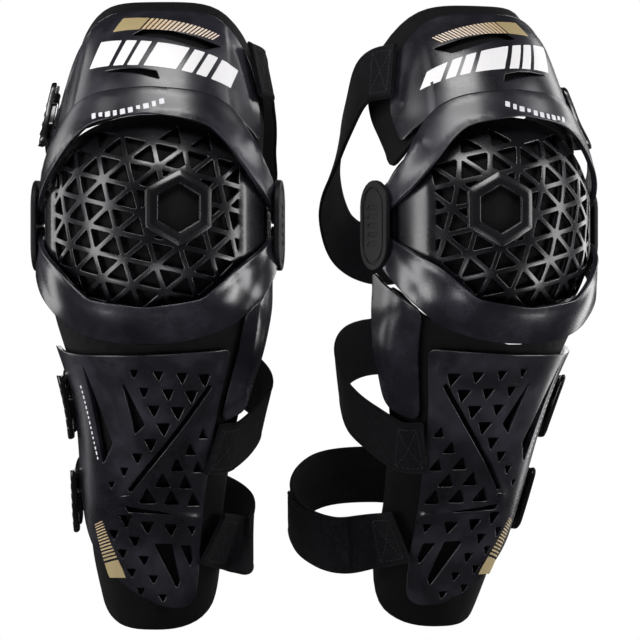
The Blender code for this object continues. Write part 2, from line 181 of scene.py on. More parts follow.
def run_of(angle, height):
    """Distance round the skin of an angle, at one height."""
    return float(np.interp(angle, ARC_ANGLES, arc_row(height)))


def on_skin(run, height, offset):
    """Points of the skin at distances round it from the front."""
    angle = np.array([np.interp(s, arc_row(z), ARC_ANGLES) for s, z in zip(run, height)])
    return skin(angle, height, offset)


CUP_TURNS = np.radians(np.arange(-89.9, 90, 0.9))


def cup_section(turn, inset):
    power = 2 / CUP_SQUARENESS
    x = np.sign(turn) * (CUP_HALF_WIDTH - inset) * np.abs(np.sin(turn)) ** power
    return x, (CUP_RADIUS - inset) * np.cos(turn) ** power


def cup_runs():
    x, radius = cup_section(CUP_TURNS, 0)
    steps = np.hypot(np.diff(x), np.diff(radius))
    run = np.concatenate([[0], np.cumsum(steps)])
    return run - np.interp(0, CUP_TURNS, run)


CUP_RUNS = cup_runs()


def on_cup(run, height, offset):
    """Points of the knee dome: run goes round it, height is straight up, offset out from it."""
    turn = np.interp(run, CUP_RUNS, CUP_TURNS)
    x, radius = cup_section(turn, -np.asarray(offset, float))
    outer_radius = cup_section(turn, 0)[1]
    beyond = np.maximum(np.abs(height) - PIVOT_HEIGHT, 0)
    rise = np.arcsin(np.clip(beyond / outer_radius, 0, 0.999))
    z = np.sign(height) * np.minimum(np.abs(height), PIVOT_HEIGHT) + np.sign(height) * radius * np.sin(rise)
    return np.stack([x, -radius * np.cos(rise), z], -1)


def on_side(side, distance):
    """A flat face on the side of the guard: run goes to the back, height up."""

    def surface(run, height, offset):
        x = side * (distance + np.broadcast_to(offset, np.shape(run)))
        return np.stack([x, np.asarray(run, float) * side, np.asarray(height, float)], -1)

    return surface


# ---------------------------------------------------------------- loops in the plane


def dense(points, step):
    """A loop with a point at least every step."""
    points = [np.array(p, float) for p in points]
    found = []
    for a, b in zip(points, points[1:] + points[:1]):
        count = max(int(np.linalg.norm(b - a) / step), 1)
        found += [a + (b - a) * k / count for k in range(count)]
    return np.array(found)


def rounded(points, radius, steps=4):
    """A polygon whose corners are arcs; radius is one number or one for each corner."""
    points = [np.array(p, float) for p in points]
    radii = radius if hasattr(radius, "__len__") else [radius] * len(points)
    found = []
    for k, corner in enumerate(points):
        before, after = points[k - 1] - corner, points[(k + 1) % len(points)] - corner
        reach_before, reach_after = np.linalg.norm(before), np.linalg.norm(after)
        before, after = before / reach_before, after / reach_after
        half = math.acos(float(np.clip(before @ after, -0.9999, 0.9999))) / 2
        cut = min(radii[k] / math.tan(half), reach_before * 0.48, reach_after * 0.48)
        start, end = corner + before * cut, corner + after * cut
        for j in range(steps + 1):
            t = j / steps
            found.append(start * (1 - t) ** 2 + corner * 2 * t * (1 - t) + end * t**2)
    return np.array(found)


def unit(vector):
    return vector / np.linalg.norm(vector)


def area_of(loop):
    x, y = loop[:, 0], loop[:, 1]
    return float(np.sum(x * np.roll(y, -1) - np.roll(x, -1) * y) / 2)


def turned_left(loop):
    loop = np.asarray(loop, float)
    return loop if area_of(loop) > 0 else loop[::-1].copy()


def grown(loop, distance):
    """A left-turning loop moved outwards along its normals."""
    along = np.roll(loop, -1, 0) - loop
    along = along / np.maximum(np.linalg.norm(along, axis=1), 1e-9)[:, None]
    out = np.stack([along[:, 1], -along[:, 0]], 1)
    both = out + np.roll(out, 1, 0)
    both = both / np.maximum(np.sum(both * both, 1) / 2, 0.35)[:, None]
    return loop + both * distance


def inside(points, loop):
    """Which points lie in a loop."""
    x, y = points[:, 0], points[:, 1]
    hits = np.zeros(len(points), bool)
    for (x1, y1), (x2, y2) in zip(loop, np.roll(loop, -1, 0)):
        if y1 == y2:
            continue
        crosses = ((y1 > y) != (y2 > y)) & (x < (x2 - x1) * (y - y1) / (y2 - y1) + x1)
        hits ^= crosses
    return hits


def near(points, loop, distance):
    """Which points lie within a distance of a loop's corners and edges."""
    found = np.zeros(len(points), bool)
    for a, b in zip(loop, np.roll(loop, -1, 0)):
        run = b - a
        t = np.clip(((points - a) @ run) / max(run @ run, 1e-9), 0, 1)
        found |= np.linalg.norm(points - a - t[:, None] * run, axis=1) < distance
    return found


def triangle(centre, width, up):
    """A perforation: a triangle with rounded corners, pointing up or down."""
    s, z = centre
    tall = width * 0.9 * (1 if up else -1)
    low, high = z - tall * 0.45, z + tall * 0.55
    corners = [(s - width / 2, low), (s + width / 2, low), (s, high)]
    return rounded(corners, 0.9, 2)


# ---------------------------------------------------------------- mesh building


def put_in_scene(name, data):
    obj = bpy.data.objects.new(name, data)
    bpy.context.scene.collection.objects.link(obj)
    return obj


class Guard:
    """One guard: where its points go, and the bodies that its pieces ride on."""

    def __init__(self, name, side):
        self.name, self.side = name, side
        moved = Matrix.Translation((side * GUARD_OFFSET * MM, 0, 0))
        self.matrix = moved @ Matrix.Rotation(side * TOE_OUT, 4, "Z")

    def world(self, points):
        """Points of the right guard's frame in metres in the shared frame, mirrored on the left guard."""
        points = np.asarray(points, float) * MM
        points = points * (self.side, 1, 1)
        matrix = np.array(self.matrix)
        return points @ matrix[:3, :3].T + matrix[:3, 3]

    def mesh(self, name, points, faces, material, body, slot=None, sharp=None):
        data = bpy.data.meshes.new(name)
        faces = [tuple(int(i) for i in (f if self.side > 0 else f[::-1])) for f in faces]
        data.from_pydata([tuple(p) for p in self.world(points)], [], faces)
        data.shade_smooth()
        if sharp:
            data.set_sharp_from_angle(angle=math.radians(sharp))
        data.materials.append(MATERIALS[material])
        obj = put_in_scene(f"{self.name}_{name}", data)
        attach(obj, f"{self.name}_{body}")
        return obj

    def replaces(self, obj, *nodes):
        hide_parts(*[f"{self.name}_{node}" for node in nodes])


HOLE_EDGE_SHARE = 0.7  # a hole's edge radius, as a share of the outer edge's


def panel(guard, name, surface, outline, offset, thickness, material, body, slot=None,
          holes=(), pockets=(), edge=0.6, spacing=3.0, relief=None, back=None, steps=2, lines=()):
    """A moulded sheet on a surface, cut by an outline and holes given in the surface's plane.

    Its edges are rounded by the edge radius. Pockets are (loop, depth). relief and back raise the
    front and the back by a length worked out from the place in the plane. lines are extra rows of
    points that the mesh passes through."""
    loops = [grown(turned_left(dense(outline, spacing)), -edge)]
    true_loops = [turned_left(dense(outline, spacing))]
    hole_step = min(spacing, 2.5)
    for hole in [*holes, *[pocket for pocket, _ in pockets]]:
        loop = turned_left(dense(hole, hole_step))
        true_loops.append(loop)
        loops.append(grown(loop, edge * HOLE_EDGE_SHARE))
    low, high = loops[0].min(0), loops[0].max(0)
    rows = []
    for r, z in enumerate(np.arange(low[1], high[1], spacing * 0.87)):
        for s in np.arange(low[0] + (r % 2) * spacing / 2, high[0], spacing):
            rows.append((s, z))
    grid = np.array(rows) if rows else np.zeros((0, 2))
    keep = inside(grid, loops[0]) & ~near(grid, loops[0], spacing * 0.5)
    grid = grid[keep]
    for loop in loops[1:]:
        box = (grid > loop.min(0) - spacing).all(1) & (grid < loop.max(0) + spacing).all(1)
        drop = np.zeros(len(grid), bool)
        drop[box] = inside(grid[box], loop) | near(grid[box], loop, spacing * 0.45)
        grid = grid[~drop]
    extra = [np.asarray(line, float) for line in lines]
    for line in extra:
        grid = grid[~near(grid, line, spacing * 0.4)] if len(line) > 2 else grid
    parts = [*loops, *extra, grid]
    starts = np.cumsum([0] + [len(p) for p in parts])
    flat = np.concatenate(parts)
    edges = []
    for loop, start in zip(loops, starts):
        edges += [(int(start + k), int(start + (k + 1) % len(loop))) for k in range(len(loop))]
    found = delaunay_2d_cdt([Vector(p) for p in flat], edges, [], 0, 1e-5)
    plane = np.array([tuple(p) for p in found[0]])
    triangles = np.array([tuple(f) for f in found[2]])
    new_of = {}
    for new, olds in enumerate(found[3]):
        for old in olds:
            new_of[old] = new
    middles = plane[triangles].mean(1)
    kept = inside(middles, loops[0])
    in_pocket = np.zeros(len(triangles), int)
    for k, loop in enumerate(loops[1:], 1):
        box = (middles > loop.min(0)).all(1) & (middles < loop.max(0)).all(1)
        hit = np.zeros(len(triangles), bool)
        hit[box] = inside(middles[box], loop)
        if k <= len(holes):
            kept &= ~hit
        else:
            in_pocket[hit] = k - len(holes)
    front = triangles[kept & (in_pocket == 0)]
    behind = triangles[kept]

    raise_front = relief(plane[:, 0], plane[:, 1]) if relief else np.zeros(len(plane))
    raise_back = back(plane[:, 0], plane[:, 1]) if back else np.zeros(len(plane))
    points = [surface(plane[:, 0], plane[:, 1], offset + raise_front)]
    points.append(surface(plane[:, 0], plane[:, 1], offset - thickness - raise_back))
    count = len(plane)
    faces = [tuple(t) for t in front] + [tuple(t[::-1] + count) for t in behind]
    total = 2 * count

    for k, (loop, true) in enumerate(zip(loops, true_loops)):
        outer = k == 0
        pocket = pockets[k - 1 - len(holes)][1] if k > len(holes) else None
        ids = np.array([new_of[int(starts[k]) + j] for j in range(len(loop))])
        top, bottom = offset + raise_front[ids], offset - thickness - raise_back[ids]
        radius = edge if outer else edge * HOLE_EDGE_SHARE
        bends = [math.pi / 2 * j / steps for j in range(1, steps + 1)]
        cuts = [(loop + (true - loop) * math.sin(bend), radius * (1 - math.cos(bend))) for bend in bends]
        wall = [(at, top - drop) for at, drop in cuts]
        if pocket is None:
            wall += [(at, bottom + drop) for at, drop in cuts[::-1]]
        else:
            wall.append((true, top - pocket))
        rings = [ids]
        for at, level in wall:
            points.append(surface(at[:, 0], at[:, 1], level))
            rings.append(np.arange(total, total + len(loop)))
            total += len(loop)
        if pocket is None:
            rings.append(ids + count)
        for high_ring, low_ring in zip(rings, rings[1:]):
            for j in range(len(loop)):
                n = (j + 1) % len(loop)
                quad = (low_ring[j], low_ring[n], high_ring[n], high_ring[j])
                faces.append(quad if outer else quad[::-1])
        if pocket is not None:
            inner = [tuple(t) for t in triangles[kept & (in_pocket == k - len(holes))]]
            slot_of = {int(i): int(rings[-1][j]) for j, i in enumerate(ids)}
            spare = {}
            for t in inner:
                for i in t:
                    if int(i) not in slot_of and int(i) not in spare:
                        spare[int(i)] = total
                        height = offset + raise_front[i:i + 1] - pocket
                        points.append(surface(plane[i:i + 1, 0], plane[i:i + 1, 1], height))
                        total += 1
            for t in inner:
                faces.append(tuple(slot_of.get(int(i), spare.get(int(i), 0)) for i in t))
    cloud = np.concatenate([np.asarray(p).reshape(-1, 3) for p in points])
    obj = guard.mesh(name, cloud, faces, material, body, slot)
    weighted = obj.modifiers.new("even shading", "WEIGHTED_NORMAL")
    weighted.mode = "FACE_AREA"
    weighted.weight = 60
    return obj


def blunt(sides, radius):
    """One loop of several sides, each a run of points from corner to corner, its corners rounded."""
    trimmed = []
    for side in sides:
        side = np.asarray(side, float)
        run = np.concatenate([[0], np.cumsum(np.linalg.norm(np.diff(side, axis=0), axis=1))])
        cut = min(radius, run[-1] * 0.45)
        ends = [np.array([np.interp(at, run, side[:, k]) for k in (0, 1)]) for at in (cut, run[-1] - cut)]
        middle = side[(run > cut * 1.05) & (run < run[-1] - cut * 1.05)]
        trimmed.append(np.vstack([ends[0], middle, ends[1]]))
    found = []
    for k, side in enumerate(trimmed):
        corner, after = np.asarray(sides[k][-1], float), trimmed[(k + 1) % len(trimmed)][0]
        found.append(side)
        turns = [side[-1] * (1 - t) ** 2 + corner * 2 * t * (1 - t) + after * t**2 for t in (0.25, 0.5, 0.75)]
        found.append(np.array(turns))
    return np.vstack(found)


def shell_outline(left, right, low, high, radius, steps=24):
    """Outline of a shell between two edge angles and two ends, as distances round the skin and heights."""

    def point(across, up):
        angle = left(up) + (right(up) - left(up)) * (across + 1) / 2
        height = low(across) + (high(across) - low(across)) * up
        return run_of(angle, height), height

    ways = np.linspace(-1, 1, steps)
    rises = np.linspace(0, 1, steps)
    return blunt(
        [
            [point(a, 0) for a in ways],
            [point(1, u) for u in rises],
            [point(a, 1) for a in ways[::-1]],
            [point(-1, u) for u in rises[::-1]],
        ],
        radius,
    )


def circle(centre, radius, count=24, start=0.0, end=2 * math.pi, closed=True):
    turns = np.linspace(start, end, count, endpoint=not closed)
    return np.stack([centre[0] + radius * np.cos(turns), centre[1] + radius * np.sin(turns)], 1)


def stadium(radius, half_length, count=14):
    """An upright loop with round ends."""
    upper = circle((0, half_length), radius, count, 0, math.pi, False)
    lower = circle((0, -half_length), radius, count, math.pi, 2 * math.pi, False)
    return np.vstack([upper, lower])


def smooth_step(t):
    t = np.clip(t, 0, 1)
    return t * t * (3 - 2 * t)


def ridge(s, z, start, end, height, reach):
    """A crease: a tent of a height over a line, falling to nothing at its reach on both sides."""
    start, end = np.array(start, float), np.array(end, float)
    along = end - start
    length = np.linalg.norm(along)
    along = along / length
    run = (s - start[0]) * along[0] + (z - start[1]) * along[1]
    off = np.abs((s - start[0]) * -along[1] + (z - start[1]) * along[0])
    fade = smooth_step((run + 6) / 12) * smooth_step((length + 6 - run) / 12)
    return height * np.maximum(1 - off / reach, 0) * fade


def line_points(start, end, step=2.5):
    start, end = np.array(start, float), np.array(end, float)
    count = max(int(np.linalg.norm(end - start) / step), 2)
    return np.array([start + (end - start) * k / count for k in range(count + 1)])


# ---------------------------------------------------------------- materials

MATERIALS = {}


class Nodes:
    """Short words for building a material's nodes."""

    def __init__(self, name):
        self.material = bpy.data.materials.new(name)
        self.material.use_nodes = True
        self.tree = self.material.node_tree
        self.shader = self.tree.nodes["Principled BSDF"]
        MATERIALS[name] = self.material

    def add(self, kind, **values):
        node = self.tree.nodes.new(kind)
        for key, value in values.items():
            if key in node.inputs:
                node.inputs[key].default_value = value
            else:
                setattr(node, key, value)
        return node

    def link(self, out, to):
        self.tree.links.new(out, to)

    def place(self, scale=(1, 1, 1)):
        where = self.add("ShaderNodeTexCoord")
        mapping = self.add("ShaderNodeMapping")
        mapping.inputs["Scale"].default_value = scale
        self.link(where.outputs["Object"], mapping.inputs["Vector"])
        return mapping.outputs["Vector"]

    def noise(self, place, scale, detail=3.0, rough=0.5):
        node = self.add("ShaderNodeTexNoise", Scale=scale, Detail=detail, Roughness=rough)
        self.link(place, node.inputs["Vector"])
        return node.outputs["Fac"]

    def ramp(self, value, stops):
        node = self.add("ShaderNodeValToRGB")
        while len(node.color_ramp.elements) < len(stops):
            node.color_ramp.elements.new(0.5)
        for element, (position, colour) in zip(node.color_ramp.elements, stops):
            element.position = position
            element.color = (*colour, 1.0) if len(colour) == 3 else colour
        self.link(value, node.inputs["Fac"])
        return node.outputs["Color"]

    def math(self, operation, first, second):
        node = self.add("ShaderNodeMath", operation=operation)
        for k, value in enumerate((first, second)):
            if isinstance(value, (int, float)):
                node.inputs[k].default_value = value
            else:
                self.link(value, node.inputs[k])
        return node.outputs["Value"]

    def bump(self, height, strength, distance):
        node = self.add("ShaderNodeBump", Strength=strength, Distance=distance)
        self.link(height, node.inputs["Height"])
        self.link(node.outputs["Normal"], self.shader.inputs["Normal"])

    def socket(self, name, value):
        if isinstance(value, (int, float, tuple)):
            self.shader.inputs[name].default_value = (*value, 1.0) if isinstance(value, tuple) else value
        else:
            self.link(value, self.shader.inputs[name])


def shade(colour, factor):
    return tuple(min(c * factor, 1.0) for c in colour)


def make_plastic(name, colour, roughness, spread, grain=0.05, scuffs=0.5, coat=0.0, specular=0.5):
    """Moulded plastic: fine grain, cloudy gloss, and faint scuffs that run any way."""
    n = Nodes(name)
    place = n.place()
    cloud = n.noise(place, 22.0, 5.0, 0.6)
    fine = n.noise(place, 1500.0, 2.0, 0.6)
    long_scuff = n.noise(n.place((60, 60, 460)), 1.6, 6.0, 0.7)
    cross_scuff = n.noise(n.place((420, 300, 40)), 1.4, 6.0, 0.7)
    marks = n.math("MULTIPLY", long_scuff, cross_scuff)
    marked = n.ramp(marks, [(0.26, (0, 0, 0)), (0.55, (1, 1, 1))])
    haze = n.ramp(cloud, [(0.34, shade(colour, 0.6)), (0.5, colour), (0.68, shade(colour, 1 + 1.1 * scuffs))])
    mix = n.add("ShaderNodeMix", data_type="RGBA")
    n.link(n.math("MULTIPLY", marked, 0.22 * scuffs), mix.inputs["Factor"])
    n.link(haze, mix.inputs["A"])
    mix.inputs["B"].default_value = (*shade(colour, 3.5), 1.0)
    n.link(mix.outputs["Result"], n.shader.inputs["Base Color"])
    rough = n.math("ADD", n.math("MULTIPLY", cloud, spread), roughness - spread / 2)
    rough = n.math("ADD", rough, n.math("MULTIPLY", marked, 0.06 * scuffs))
    n.socket("Roughness", rough)
    n.socket("Specular IOR Level", specular)
    n.bump(n.math("ADD", fine, n.math("MULTIPLY", cloud, 1.2)), grain, 0.0004)
    if coat:
        n.socket("Coat Weight", coat)
        n.socket("Coat Roughness", 0.12)


def make_foam(name, colour):
    """Moulded foam faced with fine knitted fabric."""
    n = Nodes(name)
    place = n.place()
    cells = n.add("ShaderNodeTexVoronoi", Scale=720.0)
    n.link(place, cells.inputs["Vector"])
    cloud = n.noise(place, 60.0, 4.0)
    n.socket("Base Color", n.ramp(cloud, [(0.3, shade(colour, 0.75)), (0.7, shade(colour, 1.3))]))
    n.socket("Roughness", 0.78)
    n.socket("Specular IOR Level", 0.12)
    n.socket("Sheen Weight", 0.01)
    n.bump(n.math("ADD", cells.outputs["Distance"], n.math("MULTIPLY", cloud, 0.8)), 0.35, 0.0005)


def make_mesh_cloth(name, colour):
    """The liner's inner face: spacer fabric with small open cells."""
    n = Nodes(name)
    cells = n.add("ShaderNodeTexVoronoi", Scale=300.0, feature="DISTANCE_TO_EDGE")
    n.link(n.place(), cells.inputs["Vector"])
    holes = n.ramp(cells.outputs["Distance"], [(0.02, (1, 1, 1)), (0.16, (0, 0, 0))])
    n.socket("Base Color", n.ramp(holes, [(0.0, shade(colour, 0.35)), (1.0, shade(colour, 1.5))]))
    n.socket("Roughness", 0.9)
    n.socket("Sheen Weight", 0.2)
    n.bump(holes, 0.6, 0.0006)


def make_webbing(name, colour):
    """Brushed loop webbing: ribs across the strap under a nap of short loops."""
    n = Nodes(name)
    weave = n.add("ShaderNodeAttribute", attribute_name="weave")
    split = n.add("ShaderNodeSeparateXYZ")
    n.link(weave.outputs["Vector"], split.inputs["Vector"])
    rib = n.math("SINE", n.math("MULTIPLY", split.outputs["X"], 3400.0), 0)
    cord = n.math("SINE", n.math("MULTIPLY", split.outputs["Y"], 4200.0), 0)
    nap = n.noise(n.place(), 900.0, 5.0, 0.75)
    clump = n.noise(n.place(), 190.0, 4.0, 0.7)
    weave_height = n.math("MULTIPLY", n.math("MULTIPLY", rib, cord), 0.25)
    height = n.math("ADD", weave_height, n.math("MULTIPLY", nap, 1.6))
    height = n.math("ADD", height, n.math("MULTIPLY", clump, 1.4))
    tone = n.math("ADD", n.math("MULTIPLY", nap, 0.6), n.math("MULTIPLY", clump, 0.4))
    stops = [(0.36, shade(colour, 0.3)), (0.5, colour), (0.68, shade(colour, 3.4))]
    n.socket("Base Color", n.ramp(tone, stops))
    n.socket("Roughness", 0.95)
    n.socket("Specular IOR Level", 0.12)
    n.socket("Sheen Weight", 0.03)
    n.socket("Sheen Roughness", 0.4)
    n.bump(height, 0.9, 0.0009)


def make_print(name, stops, wear=0.2):
    """A thin printed film, its colour running along the print."""
    n = Nodes(name)
    fade = n.add("ShaderNodeAttribute", attribute_name="weave")
    split = n.add("ShaderNodeSeparateXYZ")
    n.link(fade.outputs["Vector"], split.inputs["Vector"])
    colour = n.ramp(split.outputs["X"], stops)
    worn = n.ramp(n.noise(n.place(), 420.0, 6.0, 0.75), [(0.30, (0, 0, 0)), (0.42, (1, 1, 1))])
    mix = n.add("ShaderNodeMix", data_type="RGBA")
    n.link(n.math("ADD", n.math("MULTIPLY", worn, wear), 1 - wear), mix.inputs["Factor"])
    mix.inputs["A"].default_value = (0.05, 0.05, 0.055, 1)
    n.link(colour, mix.inputs["B"])
    n.link(mix.outputs["Result"], n.shader.inputs["Base Color"])
    n.socket("Roughness", n.math("ADD", n.math("MULTIPLY", n.noise(n.place(), 90.0, 4.0), 0.2), 0.38))
    n.bump(n.noise(n.place(), 1500.0, 2.0), 0.05, 0.0003)


def make_steel(name):
    n = Nodes(name)
    brushed = n.noise(n.place((40, 900, 900)), 2.0, 4.0)
    n.socket("Base Color", (0.4, 0.4, 0.41))
    n.socket("Metallic", 1.0)
    n.socket("Roughness", n.math("ADD", n.math("MULTIPLY", brushed, 0.25), 0.22))
    n.bump(brushed, 0.1, 0.0003)


def make_materials():
    make_plastic("satin", (0.0085, 0.0079, 0.0112), 0.30, 0.28, grain=0.04, scuffs=1.3)
    make_plastic("gloss", (0.0085, 0.0079, 0.0112), 0.25, 0.24, grain=0.03, scuffs=1.1)
    make_plastic("cup", (0.0028, 0.0026, 0.0038), 0.27, 0.20, grain=0.04, scuffs=0.8)
    make_plastic("emblem", (0.0040, 0.0040, 0.0050), 0.27, 0.10, grain=0.05, scuffs=0.5)
    make_plastic("hinge", (0.0050, 0.0049, 0.0058), 0.50, 0.12, grain=0.30, scuffs=0.3, specular=0.16)
    make_plastic("clip", (0.0050, 0.0050, 0.0060), 0.22, 0.10, grain=0.03, scuffs=0.5, coat=0.3)
    make_foam("foam", (0.0022, 0.0022, 0.0026))
    make_mesh_cloth("liner", (0.0060, 0.0060, 0.0070))
    make_webbing("webbing", (0.0026, 0.0026, 0.0036))
    make_plastic("thread", (0.0080, 0.0080, 0.0090), 0.7, 0.1, grain=0.2, scuffs=0.0)
    make_print("white_print", [(0.0, (0.62, 0.61, 0.61)), (1.0, (0.66, 0.65, 0.66))], 0.10)
    khaki = [(0.0, (0.30, 0.235, 0.115)), (0.45, (0.50, 0.37, 0.22)), (1.0, (0.66, 0.55, 0.44))]
    make_print("khaki_print", khaki, 0.2)
    make_print("small_print", [(0.0, (0.50, 0.50, 0.52)), (1.0, (0.60, 0.60, 0.62))], 0.35)
    make_steel("steel")


# ---------------------------------------------------------------- shared outlines and reliefs

def thigh_outline():
    edge = math.radians(72)
    return shell_outline(
        lambda up: -edge, lambda up: edge * (1 - 0.06 * up),
        lambda a: 96 - 34 * abs(a) ** 2.2, lambda a: 165 - 44 * abs(a) ** 4, 9.0)


# How far the visible pads reach past the CAD pads, in mm, to narrow the gaps beside the cup. Deeper
# thigh pads cut through the cup.
PAD_DIP = 2.5
PAD_SIDE_DROP = 4.0
PAD_SIDE_RISE = 6


def thigh_pad_low(across):
    return 94 - 48 * abs(across) ** 1.3 - 7 * max(1 - (across / 0.62) ** 2, 0)


def thigh_pad_outline():
    """The pad's outline; between its middle and its sides it reaches a little further down."""
    edge = math.radians(94)
    return shell_outline(
        lambda up: -edge, lambda up: edge,
        lambda a: thigh_pad_low(a) - PAD_DIP * math.exp(-(((abs(a) - 0.31) / 0.21) ** 2))
        - PAD_SIDE_DROP * float(smooth_step((abs(a) - 0.66) / 0.25)),
        lambda a: 172 - 50 * abs(a) ** 4, 14.0)


def shin_outer_edge(up):
    """Angle of the shin plate's outer edge, from its foot (0) to its top (1)."""
    return math.radians(84) * (1 - 0.62 * (1 - up) ** 4)


def shin_plate_outline():
    facing = math.radians(-52)
    return shell_outline(
        lambda up: facing * (1 - 0.12 * (1 - up) ** 3), shin_outer_edge,
        lambda a: -298 + 12 * max(a + 0.5, 0) ** 2 + 40 * max(-a - 0.6, 0) ** 2,
        lambda a: -99.5 + 14 * max(a - 0.2, 0) ** 2 + 5 * max(-a, 0) ** 2, 8.0)


def shin_pad_outline():
    edge = math.radians(97)
    return shell_outline(
        lambda up: -edge, lambda up: edge,
        lambda a: -316 + 34 * abs(a) ** 3,
        lambda a: -92 + 45 * abs(a) ** 1.35 + PAD_SIDE_RISE * float(smooth_step((abs(a) - 0.55) / 0.3)), 22.0)


def wing_outline():
    return shell_outline(
        lambda up: math.radians(-107 + 12 * (1 - up)), lambda up: math.radians(-58),
        lambda a: -136 - 16 * (a + 1) / 2, lambda a: -33 - 32 * (a + 1) / 2, 10.0, 14)


def thigh_relief(s, z):
    """A soft step below the top edge, and the front standing a little out from the sides."""
    top = 165 - 44 * np.minimum(np.abs(s) / 92, 1.1) ** 4
    sides = smooth_step((np.abs(s) - 66 - (z - 120) * -0.12) / 5)
    return 1.1 * smooth_step((top - z - 5) / 9) - 1.2 * sides


def shin_relief(s, z):
    """Creases of the moulded cross, the step along the facing edge, and the low ridge under it."""
    s = s + lean(z) * 0.72
    cross = ridge(s, z, (-62, -110), (30, -214), 1.6, 8)
    low = ridge(s, z, (26, -221), (-42, -228), 2.2, 5)
    facing_edge = np.interp(z, (-296, -276, -219, -157, -94), (-21, -29, -47, -61, -70))
    step = 1.2 * smooth_step((s - facing_edge - 3) / 6)
    return cross + low + step


# ---------------------------------------------------------------- the guard's pieces


def with_weave(obj, values):
    """Stores the place along and across a piece for its material."""
    data = obj.data.attributes.new("weave", "FLOAT_VECTOR", "POINT")
    data.data.foreach_set("vector", np.asarray(values, np.float32).ravel())
    return obj


def print_film(guard, name, loops, fades, material, offset, relief, body):
    """Printed shapes as one thin film that lies on a shell."""
    made = []
    for k, (loop, fade) in enumerate(zip(loops, fades)):
        obj = panel(guard, f"{name}_{k}", on_skin, loop, offset + 0.22, 0.3, material, body,
                    edge=0.08, spacing=3.0, relief=relief, steps=1)
        with_weave(obj, [(fade, 0, 0)] * len(obj.data.vertices))
        made.append(obj)
    joined = made[0]
    with bpy.context.temp_override(active_object=joined, selected_editable_objects=made, object=joined,
                                   selected_objects=made):
        bpy.ops.object.join()
    joined.name = f"{guard.name}_{name}"
    return joined


def thigh_slots():
    upper = blunt([[(8, 149.6), (-12, 148.6), (-35, 143.6), (-59, 136.2)][::-1],
                   [(8, 149.6), (16.5, 144.8)],
                   [(16.5, 144.8), (-6, 143.2), (-25, 138.8), (-45, 133.4)],
                   [(-45, 133.4), (-59, 136.2)]], 1.0)
    lower = blunt([[(-5.5, 116.4), (7.5, 118.6), (21, 118.6), (38, 116.6)],
                   [(38, 116.6), (22.5, 116.0), (7.5, 114.5), (-8, 110.6)],
                   [(-8, 110.6), (-5.5, 116.4)]], 0.9)
    return [upper, lower]


def slanted(s, z, width, height, lean):
    return [(s, z), (s + width, z), (s + width + lean, z + height), (s + lean, z + height)]


def word_bars(side):
    """A row of plain slanted bars in place of lettering: (start, width), from the outer side."""
    loops = []
    at = 50.0
    for width, gap in ((20, 4.0), (9, 3.2), (9, 4.5), (26, 4.2), (9, 3.2), (9, 4.2), (20, 3.0)):
        start, at = at, at - width

        def edge(s, share):
            middle = 131 - 0.0021 * (s - 22) ** 2
            tall = 21.0 + 0.055 * (s - 50)
            return (s + side * 10 * (share - 0.5), middle + tall * (share - 0.5))

        low = [edge(s, 0) for s in np.linspace(at, start, 5)]
        high = [edge(s, 1) for s in np.linspace(start, at, 5)]
        loops.append(blunt([low, [low[-1], high[0]], high, [high[-1], low[0]]], 0.8))
        at -= gap
    return loops


def stripe_bars():
    """A khaki block and slanted stripes that thin towards the facing side."""
    loops, fades = [], []

    def edge(s, share):
        middle = 154.0 - 0.0025 * (s - 12) ** 2
        tall = 11.0 + 0.085 * (s - 30)
        return (s - 7 * (share - 0.5), middle + tall * (share - 0.5))

    loops.append(blunt([[edge(s, 0) for s in np.linspace(8, 31, 6)], [edge(31, 0), edge(31, 1)],
                        [edge(s, 1) for s in np.linspace(31, 8, 6)], [edge(8, 1), edge(8, 0)]], 0.5))
    fades.append(0.0)
    at, count = 6.4, 18
    for k in range(count):
        width = 2.6 - 1.3 * k / count
        loops.append(dense([edge(at - width, 0), edge(at, 0), edge(at, 1), edge(at - width, 1)], 3))
        fades.append(0.4 + 0.6 * min(k / 9, 1))
        at -= width + 1.25 + 0.35 * k / count
    return loops, fades


def add_thigh(guard):
    plate = panel(guard, "thigh_plate_shell", on_skin, thigh_outline(), PLATE_OFFSET, 3.0, "satin", "thigh",
                  "satin_shell", holes=thigh_slots(), edge=1.1, spacing=3.4, relief=thigh_relief, steps=3)
    guard.replaces(plate, "thigh_plate")
    print_film(guard, "thigh_bars", word_bars(guard.side), [0.5] * 7, "white_print", PLATE_OFFSET,
               thigh_relief, "thigh")
    loops, fades = stripe_bars()
    print_film(guard, "thigh_stripes", loops, fades, "khaki_print", PLATE_OFFSET, thigh_relief, "thigh")
    add_liner(guard, "thigh_liner", thigh_pad_outline(), "thigh", "thigh_pad")


def quilting(s, z):
    """Foam blocks of the liner's inner face, between sewn channels."""
    across = np.abs((s / 27.0 + 0.5) % 1.0 - 0.5) * 27.0
    along = np.abs((z / 24.0 + 0.5) % 1.0 - 0.5) * 24.0
    return 1.9 * smooth_step(across / 5.5) * smooth_step(along / 5.5)


def add_liner(guard, name, outline, body, node):
    """A moulded foam liner, its rim rolled, with a sewn channel inside the rim."""
    rim = turned_left(outline)
    channel = grown(rim, -7.0)

    def front(s, z):
        points = np.stack([s, z], 1)
        return np.where(near(points, channel, 0.9), -0.7, 0.0)

    def inner(s, z):
        points = np.stack([s, z], 1)
        blend = 1 - near(points, rim, 9.0) * 0.85
        return quilting(s, z) * blend - 1.6

    obj = panel(guard, name, on_skin, outline, PAD_OFFSET, PAD_THICKNESS, "foam", body, "foam",
                edge=2.6, spacing=3.6, relief=front, back=inner, steps=3)
    obj.data.materials.append(MATERIALS["liner"])
    guard.replaces(obj, node)
    return obj


